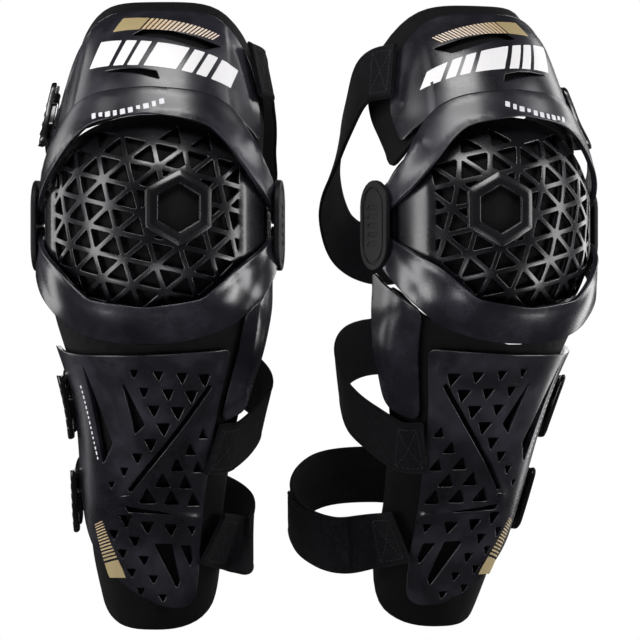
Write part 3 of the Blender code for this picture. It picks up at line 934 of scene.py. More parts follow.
def yoke_outline(inner, outer, pivot_height):
    """A yoke's outline: its outer edge, one lug, its inner edge, the other lug."""
    ways = np.radians(np.linspace(-88, 88, 60))

    def along(edges, turns):
        heights = eased(edges, np.degrees(np.abs(turns)))[:, 0]
        return [(run_of(turn, height), height) for turn, height in zip(turns, heights)]

    hinge = run_of(math.pi / 2, pivot_height)
    lug = 13.6
    first = circle((hinge, pivot_height), lug, 13, -math.pi / 2, math.pi / 2, False)
    second = circle((-hinge, pivot_height), lug, 13, math.pi / 2, 3 * math.pi / 2, False)
    if pivot_height > 0:
        return np.vstack([along(inner, ways), first, along(outer, ways[::-1]), second])
    return np.vstack([along(outer, ways), first, along(inner, ways[::-1]), second])


def yoke_share(s, z, inner, outer):
    """How far a place lies from a yoke's inner edge, from 0 to 1."""
    angle = np.array([np.interp(a, arc_row(b), ARC_ANGLES) for a, b in zip(s, z)])
    turned = np.degrees(np.abs(angle))
    low, high = eased(inner, turned)[:, 0], eased(outer, turned)[:, 0]
    return np.clip((z - low) / (high - low), 0, 1)


def upper_relief(s, z):
    """A lip along the inner edge, and the hollow beside it."""
    share = yoke_share(s, z, UPPER_INNER, UPPER_OUTER)
    lip = 0.9 * (1 - smooth_step((share - 0.04) / 0.10))
    return lip - 0.7 * smooth_step((share - 0.85) / 0.15) + ridge(s, z, (-84, 66), (-136, 22), 1.6, 10)


def lower_relief(s, z):
    share = yoke_share(s, z, LOWER_INNER, LOWER_OUTER)
    lip = 0.8 * (1 - smooth_step((share - 0.04) / 0.10))
    crease = ridge(s, z, (-136, -20), (-88, -80), 3.2, 16)
    outer_crease = ridge(s, z, (136, -20), (88, -80), 2.6, 15)
    belly = 1.0 * np.sin(math.pi * share) * np.exp(-((s / 70) ** 2))
    return lip + crease + outer_crease + belly


def dash_row(start, end, count, length, height, bend=0.0):
    """Short plain dashes in place of small lettering, along a line."""
    start, end = np.array(start, float), np.array(end, float)
    along = unit(end - start)
    across = np.array([-along[1], along[0]])
    random_lengths = random.Random(7)
    loops = []
    total = np.linalg.norm(end - start)
    pitch = total / count
    for k in range(count):
        run = length * (0.7 + 0.5 * random_lengths.random())
        middle = start + along * pitch * (k + 0.5) + across * bend * (1 - (2 * (k + 0.5) / count - 1) ** 2)
        a, b = along * run / 2, across * height / 2
        loops.append(rounded([middle - a - b, middle + a - b, middle + a + b, middle - a + b], 0.35, 2))
    return loops


def add_yokes(guard):
    hinge = run_of(math.pi / 2, PIVOT_HEIGHT)
    for name, node, inner, outer, height, relief, material, slot, body, creases in (
        ("upper_yoke", "upper_frame", UPPER_INNER, UPPER_OUTER, PIVOT_HEIGHT, upper_relief, "satin",
         "satin_shell", "thigh", (((-84, 66), (-132, 25)),)),
        ("lower_yoke", "lower_frame", LOWER_INNER, LOWER_OUTER, -PIVOT_HEIGHT, lower_relief, "gloss",
         "gloss_shell", "shin", (((-132, -25), (-90, -77)), ((132, -25), (90, -77)))),
    ):
        holes = [circle((side * hinge, height), PIN_HOLE_RADIUS, 18) for side in (-1, 1)]
        obj = panel(guard, name, on_skin, yoke_outline(inner, outer, height), 0.0, 3.5, material, body, slot,
                    holes=holes, edge=1.0, spacing=3.0, relief=relief, steps=3,
                    lines=[line_points(*crease) for crease in creases])
        guard.replaces(obj, node)
    dashes = dash_row((46, 82), (-14, 94), 10, 4.2, 4.2, 2.2)
    print_film(guard, "yoke_dashes", dashes, [0.5] * len(dashes), "small_print", 0.0, upper_relief, "thigh")


EMBLEM = (-27.0, 12.0)
EMBLEM_RADIUS = 29.5
LATTICE_START = (33.0, 34.0)
LATTICE_ACROSS = (-24.6, -5.4)
LATTICE_DOWN = (-5.8, -20.2)
LATTICE_REACH = 96
SMALLEST_HOLE = 25  # square mm, before the struts are taken off
STRUT_WIDTH = 3.9


def hexagon(radius, corner=2.5):
    turns = [math.pi / 6 + math.pi / 3 * k for k in range(6)]
    points = [(EMBLEM[0] + radius * math.cos(t), EMBLEM[1] + radius * math.sin(t)) for t in turns]
    return rounded(points, corner, 3)


def shrunk(corners, distance):
    """A convex polygon with its edges moved in, or None where little is left."""
    corners = turned_left(np.array(corners, float))
    found = corners
    for a, b in zip(corners, np.roll(corners, -1, 0)):
        along = b - a
        length = np.linalg.norm(along)
        if length < 0.05:
            continue
        normal = np.array([-along[1], along[0]]) / length
        found = clipped(found, normal, normal @ a + distance)
        if len(found) < 3:
            return None
    apart = np.linalg.norm(found - np.roll(found, 1, 0), axis=1) > 0.3
    found = found[apart]
    return found if len(found) > 2 and area_of(found) > 9 else None


def clipped(corners, normal, level):
    """The part of a polygon on one side of a line."""
    found = []
    for a, b in zip(corners, np.roll(corners, -1, 0)):
        da, db = normal @ a - level, normal @ b - level
        if da >= 0:
            found.append(a)
        if (da >= 0) != (db >= 0):
            found.append(a + (b - a) * da / (da - db))
    return np.array(found)


def lattice_holes(outline):
    """Triangles of the cup's lattice that lie inside its rim, cut back round the emblem."""
    start, across, down = map(np.array, (LATTICE_START, LATTICE_ACROSS, LATTICE_DOWN))
    rim = grown(turned_left(outline), -5.0)
    centre = np.array(EMBLEM)
    loops = []
    for i in range(-8, 9):
        for j in range(-6, 8):
            corner = start + across * i + down * j
            for corners in ((corner, corner + across, corner + down),
                            (corner + across, corner + across + down, corner + down)):
                corners = np.array(corners)
                if abs(corners.mean(0)[0]) > LATTICE_REACH:
                    continue
                middle = corners.mean(0) - centre
                turn = round((math.atan2(middle[1], middle[0])) / (math.pi / 3)) * math.pi / 3
                normal = np.array([math.cos(turn), math.sin(turn)])
                level = normal @ centre + (EMBLEM_RADIUS + 1.0) * math.cos(math.pi / 6) - STRUT_WIDTH / 2
                kept = clipped(turned_left(corners), normal, level)
                if len(kept) < 3 or area_of(kept) < SMALLEST_HOLE:
                    continue
                for rim_normal, rim_level in side_limits():
                    kept = clipped(kept, rim_normal, rim_level) if len(kept) >= 3 else kept
                if len(kept) < 3:
                    continue
                hole = shrunk(kept, STRUT_WIDTH / 2)
                if hole is None or not inside(hole, rim).all():
                    continue
                loops.append(rounded(hole, 0.9, 2))
    return loops


def side_limits():
    """The lattice ends at the solid cheeks on both sides."""
    return ((np.array([1.0, 0.0]), -80.0), (np.array([-1.0, 0.0]), -88.0))


def cup_outline(limit, top_rise=math.radians(60), grow=34.0):
    turns = np.linspace(-limit, limit, 70)
    share = np.abs(turns) / limit
    rise = np.minimum(top_rise + math.radians(grow) * share**4, math.radians(87))
    radius = cup_section(turns, 0)[1]
    runs = np.interp(turns, CUP_TURNS, CUP_RUNS)
    heights = PIVOT_HEIGHT + radius * np.sin(rise)
    upper = list(zip(runs, heights))
    lower = list(zip(runs, -heights))
    return blunt([lower, [lower[-1], upper[-1]], upper[::-1], [upper[0], lower[0]]], 5.0)


def cup_relief(s, z):
    """The lattice lies a little lower than the cheeks and sinks towards the emblem."""
    away = np.hypot(s - EMBLEM[0], z - EMBLEM[1])
    cheek = np.maximum(smooth_step((-s - 79) / 4), smooth_step((s - 87) / 4))
    return 0.9 * cheek - 0.7 * (1 - smooth_step((away - 24) / 22)) - 0.3


def add_knee(guard):
    reach = math.acos((11.0 / CUP_RADIUS) ** (CUP_SQUARENESS / 2))
    outline = cup_outline(reach)
    cup = panel(guard, "cup_shell", on_cup, outline, 0.0, CUP_THICKNESS, "cup", "knee", "cup_plastic",
                holes=lattice_holes(outline) + [hexagon(18.5, 2.0)], edge=0.8, spacing=3.2,
                relief=cup_relief, steps=2)
    guard.replaces(cup, "knee_cup")

    panel(guard, "emblem_ring", on_cup, hexagon(EMBLEM_RADIUS, 4.0), 1.2, 2.2, "emblem",
          "knee", "cup_plastic", holes=[hexagon(19.0, 2.5)], edge=0.8, spacing=1.6,
          relief=lambda s, z: cup_relief(s, z) + emblem_relief(s, z), steps=3)
    liner_outline = cup_outline(reach * 0.9, math.radians(80), 7.0)
    liner = panel(guard, "knee_liner", on_cup, liner_outline, -5.6, 7.0, "foam", "knee", "foam",
                  edge=2.4, spacing=4.5, back=lambda s, z: quilting(s, z) - 1.2, steps=3)
    guard.replaces(liner, "knee_pad")
    for side, where in ((-1, "facing"), (1, "outer")):
        add_cover(guard, side, where)
        add_tab(guard, side, where)
        for word in ("upper", "lower"):
            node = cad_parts[f"{guard.name}_{word}_pin_{where}"]
            for slot_index in range(max(len(node.material_slots), 1)):
                node.material_slots[slot_index].material = MATERIALS["steel"]


def emblem_relief(s, z):
    """Bevelled walls of the ring: high in the middle of its width."""
    away = np.zeros_like(s)
    for k in range(6):
        turn = math.pi / 3 * k
        away = np.maximum(away, (s - EMBLEM[0]) * math.cos(turn) + (z - EMBLEM[1]) * math.sin(turn))
    inner, outer = 16.4, 25.5
    share = (away - inner) / (outer - inner)
    return 1.0 * (1 - np.abs(2 * share - 1))


def add_cover(guard, side, where):
    """The hinge cover: a rim, a sunk face and plain slanted ribs."""
    face = on_side(side, HINGE_FACE + 0.6)
    sunk = stadium(15.2, 14.2, 12)
    cover = panel(guard, f"cover_{where}", face, stadium(20.5, 14.5), 4.5, 4.5, "hinge", "knee",
                  "hinge_plastic", pockets=[(sunk, 0.9)], edge=1.4, spacing=3.0, steps=3)
    guard.replaces(cover, f"hinge_cover_{where}")
    ribs = [(rounded(slanted(-10, z, 15, 3.0, 4.5), 0.7, 2), 0.6) for z in (12.5, 5.5, -1.5, -8.5, -15.5)]
    panel(guard, f"cover_badge_{where}", face, stadium(13.9, 14.0, 12), 4.3, 0.9, "hinge",
          "knee", "hinge_plastic", edge=0.5, spacing=3.0, steps=2, pockets=ribs)


def add_tab(guard, side, where):
    """The flat ear of the cup that the hinge pins pass through."""
    pin_holes = [circle((0, end * PIVOT_HEIGHT), PIN_HOLE_RADIUS, 16) for end in (-1, 1)]
    panel(guard, f"cup_tab_{where}", on_side(side, CUP_HALF_WIDTH - 0.2), stadium(15.0, PIVOT_HEIGHT, 12),
          0.0, 3.2, "cup", "knee", "cup_plastic", holes=pin_holes, edge=0.6, spacing=3.0)


def set_back(loop):
    """A shape of the shin plate, moved against the shin's lean, less so on the outer side."""
    loop = np.array(loop, float)
    share = 0.72 - 0.25 * np.clip(loop[:, 0] / 40, -1, 1)
    loop[:, 0] -= lean(loop[:, 1]) * share
    return loop


def shin_openings():
    """Perforations of the shin plate, in the clusters that its creases bound."""
    holes = []
    for row in range(4):
        for column in range(4 - row):
            centre = (12.8 - 7.1 * row - 19.4 * column, -113.6 - 14.3 * row - 1.7 * column)
            holes.append(triangle(centre, 7.4 + 1.5 * column + 1.6 * row, False))
    for k in range(4):
        holes.append(triangle((2.3 + 11.2 * k, -168.3 - 10.6 * k), 11.0 - 1.5 * k, False))
    for row, count in enumerate((1, 1, 2, 2, 3)):
        for column in range(count):
            centre = (-42.8 + 12.4 * row - 18.8 * column, -159.8 - 12.2 * row - 1.4 * column)
            holes.append(triangle(centre, 9.5 + 1.1 * row - 0.6 * column, True))
    for s, z, width in ((24.8, -228.2, 12), (8.3, -233.2, 11.5), (-10.0, -235.6, 11.5), (-28.0, -236.0, 8.5)):
        holes.append(triangle((s, z), width, False))
    for row in range(4):
        centre = (35.6 - 6.1 * row, -239.5 - 15.1 * row)
        holes.append(triangle(centre, 9.2 - 0.5 * row, False))
        holes.append(triangle((centre[0] - 16.7, centre[1] - 5.2), 9.8 - 0.8 * row, False))
    holes.append(rounded([(24.2, -116.5), (14.6, -160.5), (6.2, -152.8)], (1.2, 1.0, 1.6), 3))
    holes.append(rounded([(61.5, -104.0), (43.4, -184.0), (33.5, -168.0)], (0.8, 1.2, 1.6), 3))
    holes.append(rounded([(4.2, -246.3), (-10.4, -246.5), (-14.4, -276.5), (-11.3, -283.0)], 1.4, 3))
    holes.append(rounded([(-16.4, -247.8), (-26.0, -248.2), (-27.2, -260.0), (-24.0, -265.0)], 1.2, 3))
    return holes


def bar(start, end, width):
    """A long thin loop from one point to another."""
    start, end = np.array(start, float), np.array(end, float)
    along = unit(end - start)
    across = np.array([-along[1], along[0]]) * width / 2
    return rounded([start - across, end - across, end + across, start + across], width * 0.4, 2)


def add_shin(guard):
    grooves = [
        bar((-50.5, -122.5), (20.5, -204.5), 3.6),
        rounded([(25.0, -216.4), (22.0, -221.0), (-18.0, -223.6)], 0.5, 2),
    ]
    plate = panel(guard, "shin_shell", on_skin, shin_plate_outline(), PLATE_OFFSET, 3.0, "satin", "shin",
                  "satin_shell", holes=[set_back(hole) for hole in shin_openings() + grooves],
                  edge=1.0, spacing=3.2, relief=shin_relief, steps=3)
    guard.replaces(plate, "shin_plate")
    corners = [(27.5, -208.5), (20.0, -207.5), (18.6, -214.6), (26.0, -215.8)]
    panel(guard, "corner_stud", on_skin, set_back(rounded(corners, 1.0)), PLATE_OFFSET + 0.5, 1.4, "gloss",
          "shin", "gloss_shell", edge=0.7, spacing=2.0, relief=shin_relief, steps=2)
    dashes = [set_back(loop) for loop in dash_row((66.5, -122), (48.5, -181), 15, 2.7, 1.5)]
    print_film(guard, "shin_dashes", dashes, [0.5] * len(dashes), "small_print", PLATE_OFFSET,
               shin_relief, "shin")
    loops, fades = shin_stripes()
    loops = [set_back(loop) for loop in loops]
    print_film(guard, "shin_stripes", loops, fades, "khaki_print", PLATE_OFFSET, shin_relief, "shin")
    add_liner(guard, "shin_liner", shin_pad_outline(), "shin", "shin_pad")
    wing = panel(guard, "wing_shell", on_skin, wing_outline(), PLATE_OFFSET, 2.6, "gloss", "shin",
                 "gloss_shell", edge=1.0, spacing=3.2, steps=3, relief=wing_relief,
                 lines=[line_points((-104, -62), (-90, -138))])
    guard.replaces(wing, "side_wing")


def wing_relief(s, z):
    return ridge(s, z, (-106, -50), (-88, -148), 2.0, 16)


def shin_stripes():
    """A khaki block at the plate's foot and stripes that fade upwards."""

    def edge(z, share):
        up = (z + 298.0) / 198.5
        plate_edge = run_of(shin_outer_edge(up), z) + 0.47 * lean(z)
        outer = min(np.interp(z, (-288, -271, -228), (36.5, 44.5, 56.5)), plate_edge - 2.2)
        inner = outer - np.interp(z, (-288, -271, -228), (11.5, 14.5, 9.0))
        return (inner + (outer - inner) * share, z + 3.2 * (1 - share))

    loops = [blunt([[edge(-277, 0), edge(-270, 0), edge(-262.5, 0)], [edge(-262.5, 0), edge(-262.5, 1)],
                    [edge(-262.5, 1), edge(-269, 1), edge(-274, 1)], [edge(-274, 1), edge(-277, 0)]], 0.6)]
    fades = [0.0]
    z = -260.8
    for k in range(13):
        tall = 1.5 - 0.9 * k / 13
        loops.append(dense([edge(z, 0), edge(z, 1), edge(z + tall, 1), edge(z + tall, 0)], 3))
        fades.append(0.05 + 0.03 * k)
        z += tall + 1.25
    return loops, fades


# ---------------------------------------------------------------- straps and clips


def section_at(height):
    return eased(SECTIONS, height)[0]


def skin_normal(angle, height):
    """Outward normal of the skin."""
    step = 0.01
    across = skin(angle + step, height) - skin(angle - step, height)
    up = skin(angle, height + 1) - skin(angle, height - 1)
    return unit(np.cross(across, up))


def catmull_rom(points, steps):
    """Points of a smooth curve through the given ones, with steps samples a span."""
    points = [np.array(p, float) for p in points]
    ends = [points[0] * 2 - points[1], *points, points[-1] * 2 - points[-2]]
    found = []
    for a, b, c, d in zip(ends, ends[1:], ends[2:], ends[3:]):
        for k in range(steps):
            t = k / steps
            found.append((b * 2 + (c - a) * t + (a * 2 - b * 5 + c * 4 - d) * t**2
                          + (b * 3 - a - c * 3 + d) * t**3) / 2)
    return np.array([*found, points[-1]])


def leg_lean(height):
    low, high = section_at(height - 10), section_at(height + 10)
    return (high[1] + high[2] - low[1] - low[2]) / 20


def strap_route(front, clip, free):
    """A strap's stations and the way that each faces, as the design has them."""
    angle, height, drop = front
    stations = [
        (skin(math.radians(-turned), at, STRAP_OFFSET), skin_normal(math.radians(-turned), at))
        for turned, at in ((angle, height), (angle + 22, height - drop))
    ]
    loose = []
    for point in free:
        section = section_at(point[2])
        facing = np.array([point[0], (point[1] - section[1] - section[2]) * 0.8, 0])
        loose.append((np.array(point, float), unit(facing)))
    bar = CLIP_HEIGHTS[clip]
    backwards = unit(np.array([0, 1, -leg_lean(bar)]))
    last = []
    for distance in (27.0, CLIP_GAP):
        point = skin(CLIP_BACK, bar, CLIP_OFFSET - CLIP_THICKNESS / 2) + backwards * distance
        point[0] = section_at(point[2])[0] + lean(point[2]) + CLIP_OFFSET - CLIP_THICKNESS / 2
        last.append((point, skin_normal(CLIP_BACK, point[2])))
    return [*stations, *loose, *last]


STRAPS = {
    "right": {
        "thigh": ((66, 121, 9), ((-78, 84, 68), (-71, 115, 30), (-47, 138, -8), (0, 146, -22),
                                 (52, 134, 2), (82, 100, 42))),
        "upper_calf": ((50, -173, -3), ((-76, 70, -144), (-73, 98, -118), (-46, 124, -98),
                                        (0, 134, -94), (46, 124, -106), (72, 98, -126))),
        "lower_calf": ((56, -244, 3), ((-74, 98, -250), (-90, 124, -239), (-86, 149, -219),
                                        (-52, 168, -201), (0, 168, -197), (42, 152, -203), (62, 128, -210))),
    },
    "left": {
        "thigh": ((66, 121, 9), ((-75, 84, 74), (-66, 112, 42), (-42, 132, 12), (0, 142, -6),
                                 (50, 130, 12), (80, 98, 48))),
        "upper_calf": ((50, -173, -3), ((-74, 70, -149), (-70, 95, -130), (-44, 120, -114),
                                        (0, 130, -110), (44, 122, -116), (71, 98, -128))),
        "lower_calf": ((56, -244, 3), ((-60, 92, -250), (-60, 114, -242), (-50, 136, -228),
                                       (-26, 150, -216), (4, 152, -211), (34, 144, -211), (58, 126, -212))),
    },
}


def frames_of(points, facings):
    """Across and outward directions along a route."""
    along = np.gradient(points, axis=0)
    along /= np.linalg.norm(along, axis=1)[:, None]
    across = np.cross(along, facings)
    across /= np.linalg.norm(across, axis=1)[:, None]
    out = np.cross(across, along)
    return along, across, out


def webbing_section(width, thickness, hem):
    """Places across a strap and out from its face: rounded edges and a hem near each edge."""
    half = width / 2
    face = np.concatenate([np.linspace(-half + 0.5, -half + 5, 6), np.linspace(-half + 7.5, half - 7.5, 12),
                           np.linspace(half - 5, half - 0.5, 6)])
    inward = half - np.abs(face)
    rise = hem * np.exp(-((inward - 2.2) / 1.5) ** 2) - 0.6 * hem * np.exp(-((inward - 4.7) / 0.7) ** 2)
    rise = rise - 0.35 * np.exp(-((inward / 0.8) ** 2))
    top = np.stack([face, rise], 1)
    bottom = np.stack([face[::-1], -thickness - rise[::-1] * 0.5], 1)
    turns = np.linspace(0, math.pi, 5)[1:-1]
    rises = -thickness / 2 + (thickness / 2 - 0.3) * np.cos(turns)
    right = np.stack([half - 0.5 + 0.5 * np.sin(turns), rises], 1)
    left = np.stack([-right[::-1, 0], right[::-1, 1]], 1)
    return np.concatenate([top, right, bottom, left])


def sweep(guard, name, body, points, facings, width, thickness, hem=0.35, lift=0.0, slack=0.0, seed=1,
          fray=0.0):
    """A strap along a route, with its weave's place stored for the material."""
    along, across, out = frames_of(points, facings)
    run = np.concatenate([[0], np.cumsum(np.linalg.norm(np.diff(points, axis=0), axis=1))])
    section = webbing_section(width, thickness, hem)
    waves = random.Random(seed)
    tones = [
        (waves.uniform(0.03, 0.13), waves.uniform(0, 6.28), waves.uniform(-0.05, 0.05)) for _ in range(4)
    ]
    rings, weave = [], []
    ease = np.clip(np.minimum(run - 20, run[-1] - run - 10) / 30, 0, 1)
    for k, point in enumerate(points):
        v, w = section[:, 0], section[:, 1]
        ripple = sum(np.sin(run[k] * rate + phase + v * skew) for rate, phase, skew in tones)
        ripple = ripple * slack * ease[k] / 2
        edge_bend = -slack * 0.8 * ease[k] * (np.abs(v) / width * 2) ** 3
        where = point + across[k] * v[:, None] * -1 + out[k] * (w + lift + ripple + edge_bend)[:, None]
        if fray and k == 0:
            where = where - along[0] * (fray * np.array([waves.random() for _ in v]))[:, None]
        rings.append(where)
        weave.append(np.stack([np.full(len(v), run[k] * MM), v * MM, np.zeros(len(v))], 1))
    size = len(section)
    faces = []
    for k in range(len(points) - 1):
        for j in range(size):
            n = (j + 1) % size
            faces.append((k * size + j, k * size + n, (k + 1) * size + n, (k + 1) * size + j))
    base = (len(points) - 1) * size
    faces.append(tuple(range(size - 1, -1, -1)))
    faces.append(tuple(base + j for j in range(size)))
    obj = guard.mesh(name, np.concatenate(rings), faces, "webbing", body, "webbing", 50)
    with_weave(obj, np.concatenate(weave))
    return obj, run


def along_run(at, run, values):
    """Points or directions of a strap at one or more distances along it."""
    return np.stack([np.interp(at, run, values[:, i]) for i in range(3)], -1)


def box_stitches(points, facings, run, start, length, width, lift):
    """Places of the stitches that hold a strap's end: a box and its diagonals."""
    along, across, out = frames_of(points, facings)
    half, end = width / 2, start + length
    corners = [(start, -half), (end, -half), (end, half), (start, half)]
    lines = [(corners[k], corners[(k + 1) % 4]) for k in range(4)]
    lines += [(corners[0], corners[2]), (corners[1], corners[3])]
    found = []
    for (s1, v1), (s2, v2) in lines:
        total = math.hypot(s2 - s1, v2 - v1)
        count = int(total / 3.0)
        for k in range(count):
            t = (k + 0.5) / count
            s, v = s1 + (s2 - s1) * t, v1 + (v2 - v1) * t
            place, a, b, o = (along_run(s, run, values) for values in (points, along, across, out))
            way = (a * (s2 - s1) - b * (v2 - v1)) / total
            found.append((place - b * v + o * lift, way, o))
    return found


def add_stitches(guard, name, body, places, length=2.1, radius=0.28):
    """Threads as short rounded bars, one mesh for all."""
    points, faces = [], []
    for centre, way, out in places:
        side = np.cross(way, out)
        start = len(points)
        for reach, size in ((-1, 0.3), (-0.7, 1.0), (0.7, 1.0), (1, 0.3)):
            for turn in range(6):
                angle = math.pi / 3 * turn
                points.append(centre + way * reach * length / 2
                              + (side * math.cos(angle) + out * math.sin(angle)) * radius * size)
        for ring in range(3):
            for turn in range(6):
                a, b = start + ring * 6 + turn, start + ring * 6 + (turn + 1) % 6
                faces.append((a, a + 6, b + 6, b))
        faces.append(tuple(start + k for k in range(6)))
        faces.append(tuple(start + 18 + k for k in range(5, -1, -1)))
    return guard.mesh(name, points, faces, "thread", body, "webbing")


def add_strap(guard, place, body):
    front, free = STRAPS[guard.name][place]
    route = strap_route(front, place, free)
    points = catmull_rom([point for point, _ in route], 14)
    facings = catmull_rom([facing for _, facing in route], 14)
    facings = facings / np.linalg.norm(facings, axis=1)[:, None]
    seed = 11 + len(place) + (5 if guard.side > 0 else 0)
    strap, run = sweep(guard, f"{place}_webbing", body, points, facings, WEBBING_WIDTH, WEBBING_THICKNESS,
                       slack=0.7, seed=seed)
    guard.replaces(strap, f"{place}_strap")
    pieces = [strap]

    # the second layer at the sewn end, and its stitches
    end = np.searchsorted(run, 27.0)
    patch, _ = sweep(guard, f"{place}_sewn_end", body, points[:end], facings[:end], WEBBING_WIDTH - 2.5, 1.2,
                     hem=0.15, lift=1.25, seed=seed + 1)
    pieces.append(patch)
    stitches = box_stitches(points, facings, run, 4.0, 19.0, 34.0, 1.35)
    pieces.append(add_stitches(guard, f"{place}_stitches", body, stitches))

    # the loose tab, doubled back over the strap behind the clip, with a rough end
    stop = run[-1] - 8.0
    start = stop - 58.0
    at = np.linspace(start, stop, 22)
    tab, _ = sweep(guard, f"{place}_tab", body, along_run(at, run, points), along_run(at, run, facings),
                   WEBBING_WIDTH - 1.5, 1.7, hem=0.25, lift=1.9, slack=0.35, seed=seed + 2, fray=1.2)
    pieces.append(tab)
    pieces.append(add_loop(guard, place, body))

    # the lower strap of one guard lies double where it leaves the shell, its free end rough
    if place == "lower_calf" and guard.side > 0:
        at = np.linspace(112.0, 46.0, 26)
        fold, _ = sweep(guard, f"{place}_fold", body, along_run(at, run, points), along_run(at, run, facings),
                        WEBBING_WIDTH - 1.0, 1.8, hem=0.25, lift=2.3, slack=0.6, seed=seed + 3, fray=2.4)
        pieces.append(fold)
    return pieces


def add_loop(guard, place, body):
    """The strap's turn round the clip's rear bar."""
    height = CLIP_HEIGHTS[place]
    ends = [skin(CLIP_BACK, at, CLIP_OFFSET - CLIP_THICKNESS / 2) for at in (height - 22.0, height + 22.0)]
    axis = unit(ends[1] - ends[0])
    centre = (ends[0] + ends[1]) / 2
    out = unit(np.array([1.0, 0, 0]) - axis * axis[0])
    back = np.cross(axis, out)
    if back[1] < 0:
        back = -back
    turns = np.radians(np.linspace(-165, 165, 26))
    route = [centre + back * (3.1 * math.cos(t) + 0.2) + out * 3.1 * math.sin(t) for t in turns]
    facings = [back * math.cos(t) + out * math.sin(t) for t in turns]
    loop, _ = sweep(guard, f"{place}_loop", body, np.array(route), np.array(facings), 43.0, 1.7, hem=0.2)
    return loop


def clip_outline(height, front, back, half, corner):
    low, high = height - half, height + half
    rises = np.linspace(low, high, 7)
    return blunt([
        [(run_of(front, low), low), (run_of((front + back) / 2, low), low), (run_of(back, low), low)],
        [(run_of(back, z), z) for z in rises],
        [(run_of(back, high), high), (run_of((front + back) / 2, high), high), (run_of(front, high), high)],
        [(run_of(front, z), z) for z in rises[::-1]],
    ], corner)


def add_clip(guard, place, parent):
    """The clip: a rounded cap with ribs and a thumb lip; and the post on the shell that holds it."""
    height = CLIP_HEIGHTS[place]
    front, back = CLIP_FRONT, CLIP_BACK
    first, last = run_of(front, height), run_of(back, height)
    slide = (run_of(math.radians(80), height + 10) - run_of(math.radians(80), height - 10)) / 20

    def moved(points):
        return [(s + slide * (z - height), z) for s, z in points]

    ribs = []
    for k in range(5):
        z = height - 15 + 7.5 * k
        ribs.append((rounded(moved([(first + 5.5, z - 1.3), (first + 17, z - 1.3), (first + 17, z + 1.3),
                                    (first + 5.5, z + 1.3)]), 1.2, 3), 1.3))
    window = rounded(moved([(last - 11.5, height - 17), (last - 5.5, height - 17), (last - 5.5, height + 17),
                            (last - 11.5, height + 17)]), 2.4, 3)

    def shape(s, z):
        across = (s - slide * (z - height) - first) / (last - first)
        lip = 1.3 * (1 - smooth_step(across / 0.13))
        dome = np.sqrt(np.clip(1 - ((z - height) / 27.0) ** 2, 0, 1))
        crown = 0.9 * np.sin(math.pi * np.clip(across, 0, 1)) * dome
        return crown + lip

    cap_outline = clip_outline(height, front, back, CLIP_HALF_HEIGHT, 6.5)
    clip = panel(guard, f"{place}_clip_cap", on_skin, cap_outline, CLIP_OFFSET, CLIP_THICKNESS, "clip",
                 f"{place}_latch", "clip_plastic", holes=[window], pockets=ribs, edge=1.2, spacing=2.6,
                 relief=shape, steps=3)
    guard.replaces(clip, f"{place}_clip")
    post_outline = clip_outline(height, math.radians(75), math.radians(85), 9, 3.0)
    post = panel(guard, f"{place}_post", on_skin, post_outline, CLIP_OFFSET - CLIP_THICKNESS - 0.5, 4.2,
                 "clip", parent, "clip_plastic", edge=0.8, spacing=2.4, steps=2)
    guard.replaces(post, f"{place}_clip_post")


def add_straps(guard):
    for place, parent in (("thigh", "thigh"), ("upper_calf", "shin"), ("lower_calf", "shin")):
        pieces = add_strap(guard, place, parent)
        add_clip(guard, place, parent)
        joint = {"thigh": "upper_axis", "upper_calf": "lower_axis"}.get(place)
        if not joint:
            continue
        axis = np.array(guard.matrix)[:3, :3] @ np.array([0, 1.0, 0])
        anchor = guard.world([[0, 60.0, CLIP_HEIGHTS[place]]])[0]
        for piece in pieces:
            tuple(anchor)
            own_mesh(piece)


# ---------------------------------------------------------------- camera, light and ground

AZIMUTH = math.radians(-11.5)
DISTANCE = 4.0
AIM_HEIGHT = -0.0726
LENS = 291.0


def make_camera():
    data = bpy.data.cameras.new("camera")
    data.lens = LENS
    data.sensor_width = 36.0
    data.clip_end = 30.0
    camera = put_in_scene("camera", data)
    camera.location = (DISTANCE * math.sin(AZIMUTH), -DISTANCE * math.cos(AZIMUTH), AIM_HEIGHT)
    camera.rotation_euler = (math.pi / 2, 0, AZIMUTH)
    bpy.context.scene.camera = camera


def area_light(name, place, aim, size, energy, colour=(1, 1, 1)):
    data = bpy.data.lights.new(name, "AREA")
    data.shape = "RECTANGLE"
    data.size, data.size_y = size
    data.energy = energy
    data.color = colour
    light = put_in_scene(name, data)
    light.location = place
    light.rotation_euler = (Vector(aim) - Vector(place)).to_track_quat("-Z", "Y").to_euler()


def make_world():
    world = bpy.data.worlds.new("studio")
    world.use_nodes = True
    nodes, links = world.node_tree.nodes, world.node_tree.links
    shown = nodes["Background"]
    shown.inputs["Color"].default_value = (0.62, 0.63, 0.66, 1)
    shown.inputs["Strength"].default_value = 0.03
    white = nodes.new("ShaderNodeBackground")
    white.inputs["Color"].default_value = (1, 1, 1, 1)
    white.inputs["Strength"].default_value = 1.0
    path = nodes.new("ShaderNodeLightPath")
    mix = nodes.new("ShaderNodeMixShader")
    links.new(path.outputs["Is Camera Ray"], mix.inputs[0])
    links.new(shown.outputs["Background"], mix.inputs[1])
    links.new(white.outputs["Background"], mix.inputs[2])
    links.new(mix.outputs["Shader"], nodes["World Output"].inputs["Surface"])
    bpy.context.scene.world = world


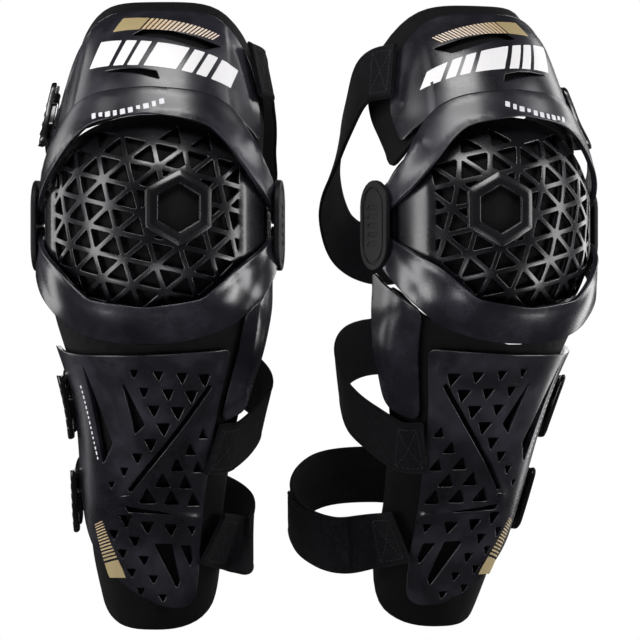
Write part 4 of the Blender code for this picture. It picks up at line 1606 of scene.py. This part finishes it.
def make_ground():
    """A pale floor under the guards, which hang a little above it as they do in the picture."""
    data = bpy.data.meshes.new("floor")
    turns = [2 * math.pi * k / 96 for k in range(96)]
    data.from_pydata([(0.55 * math.cos(t), 0.55 * math.sin(t), -0.36) for t in turns], [], [tuple(range(96))])
    floor = put_in_scene("floor", data)
    material = bpy.data.materials.new("paper")
    material.use_nodes = True
    shader = material.node_tree.nodes["Principled BSDF"]
    shader.inputs["Base Color"].default_value = (0.82, 0.82, 0.83, 1)
    shader.inputs["Roughness"].default_value = 0.9
    data.materials.append(material)
    floor.visible_glossy = False


def make_lights():
    # name, place, aim, size, watts, colour
    area_light("left_box", (-1.76, -0.57, 0.30), (0, 0, -0.05), (0.6, 1.8), 30.0, (1.0, 0.99, 1.0))
    area_light("right_box", (1.79, -0.48, 0.30), (0, 0, -0.05), (0.6, 1.8), 28.0, (0.99, 0.985, 1.0))
    area_light("top_box", (-0.3, -1.5, 2.0), (0, 0, 0), (1.5, 0.8), 52.0)
    area_light("low_front", (-0.35, -1.8, -1.05), (0, 0, -0.15), (0.7, 0.4), 8.0, (0.95, 0.94, 1.0))
    area_light("low_left", (-1.45, -0.85, -0.75), (0, 0, -0.12), (0.35, 0.7), 10.5)
    area_light("low_right", (1.45, -0.85, -0.75), (0, 0, -0.12), (0.35, 0.7), 11.5)
    area_light("left_rim", (-1.4, 0.95, 0.1), (0, 0, -0.1), (0.5, 1.7), 11.5)
    area_light("right_rim", (1.4, 0.95, 0.1), (0, 0, -0.1), (0.5, 1.7), 11.5)
    area_light("back_fill", (0.4, 2.6, 0.7), (0, 0, -0.05), (1.6, 1.2), 22.0)


# ---------------------------------------------------------------- all of it


def main():
    make_materials()
    for name, side in (("right", 1), ("left", -1)):
        guard = Guard(name, side)
        add_yokes(guard)
        add_thigh(guard)
        add_knee(guard)
        add_shin(guard)
        add_straps(guard)
    make_camera()
    make_world()
    make_lights()
    make_ground()
    bpy.context.scene.view_settings.view_transform = "Standard"
    bpy.context.view_layer.update()


main()
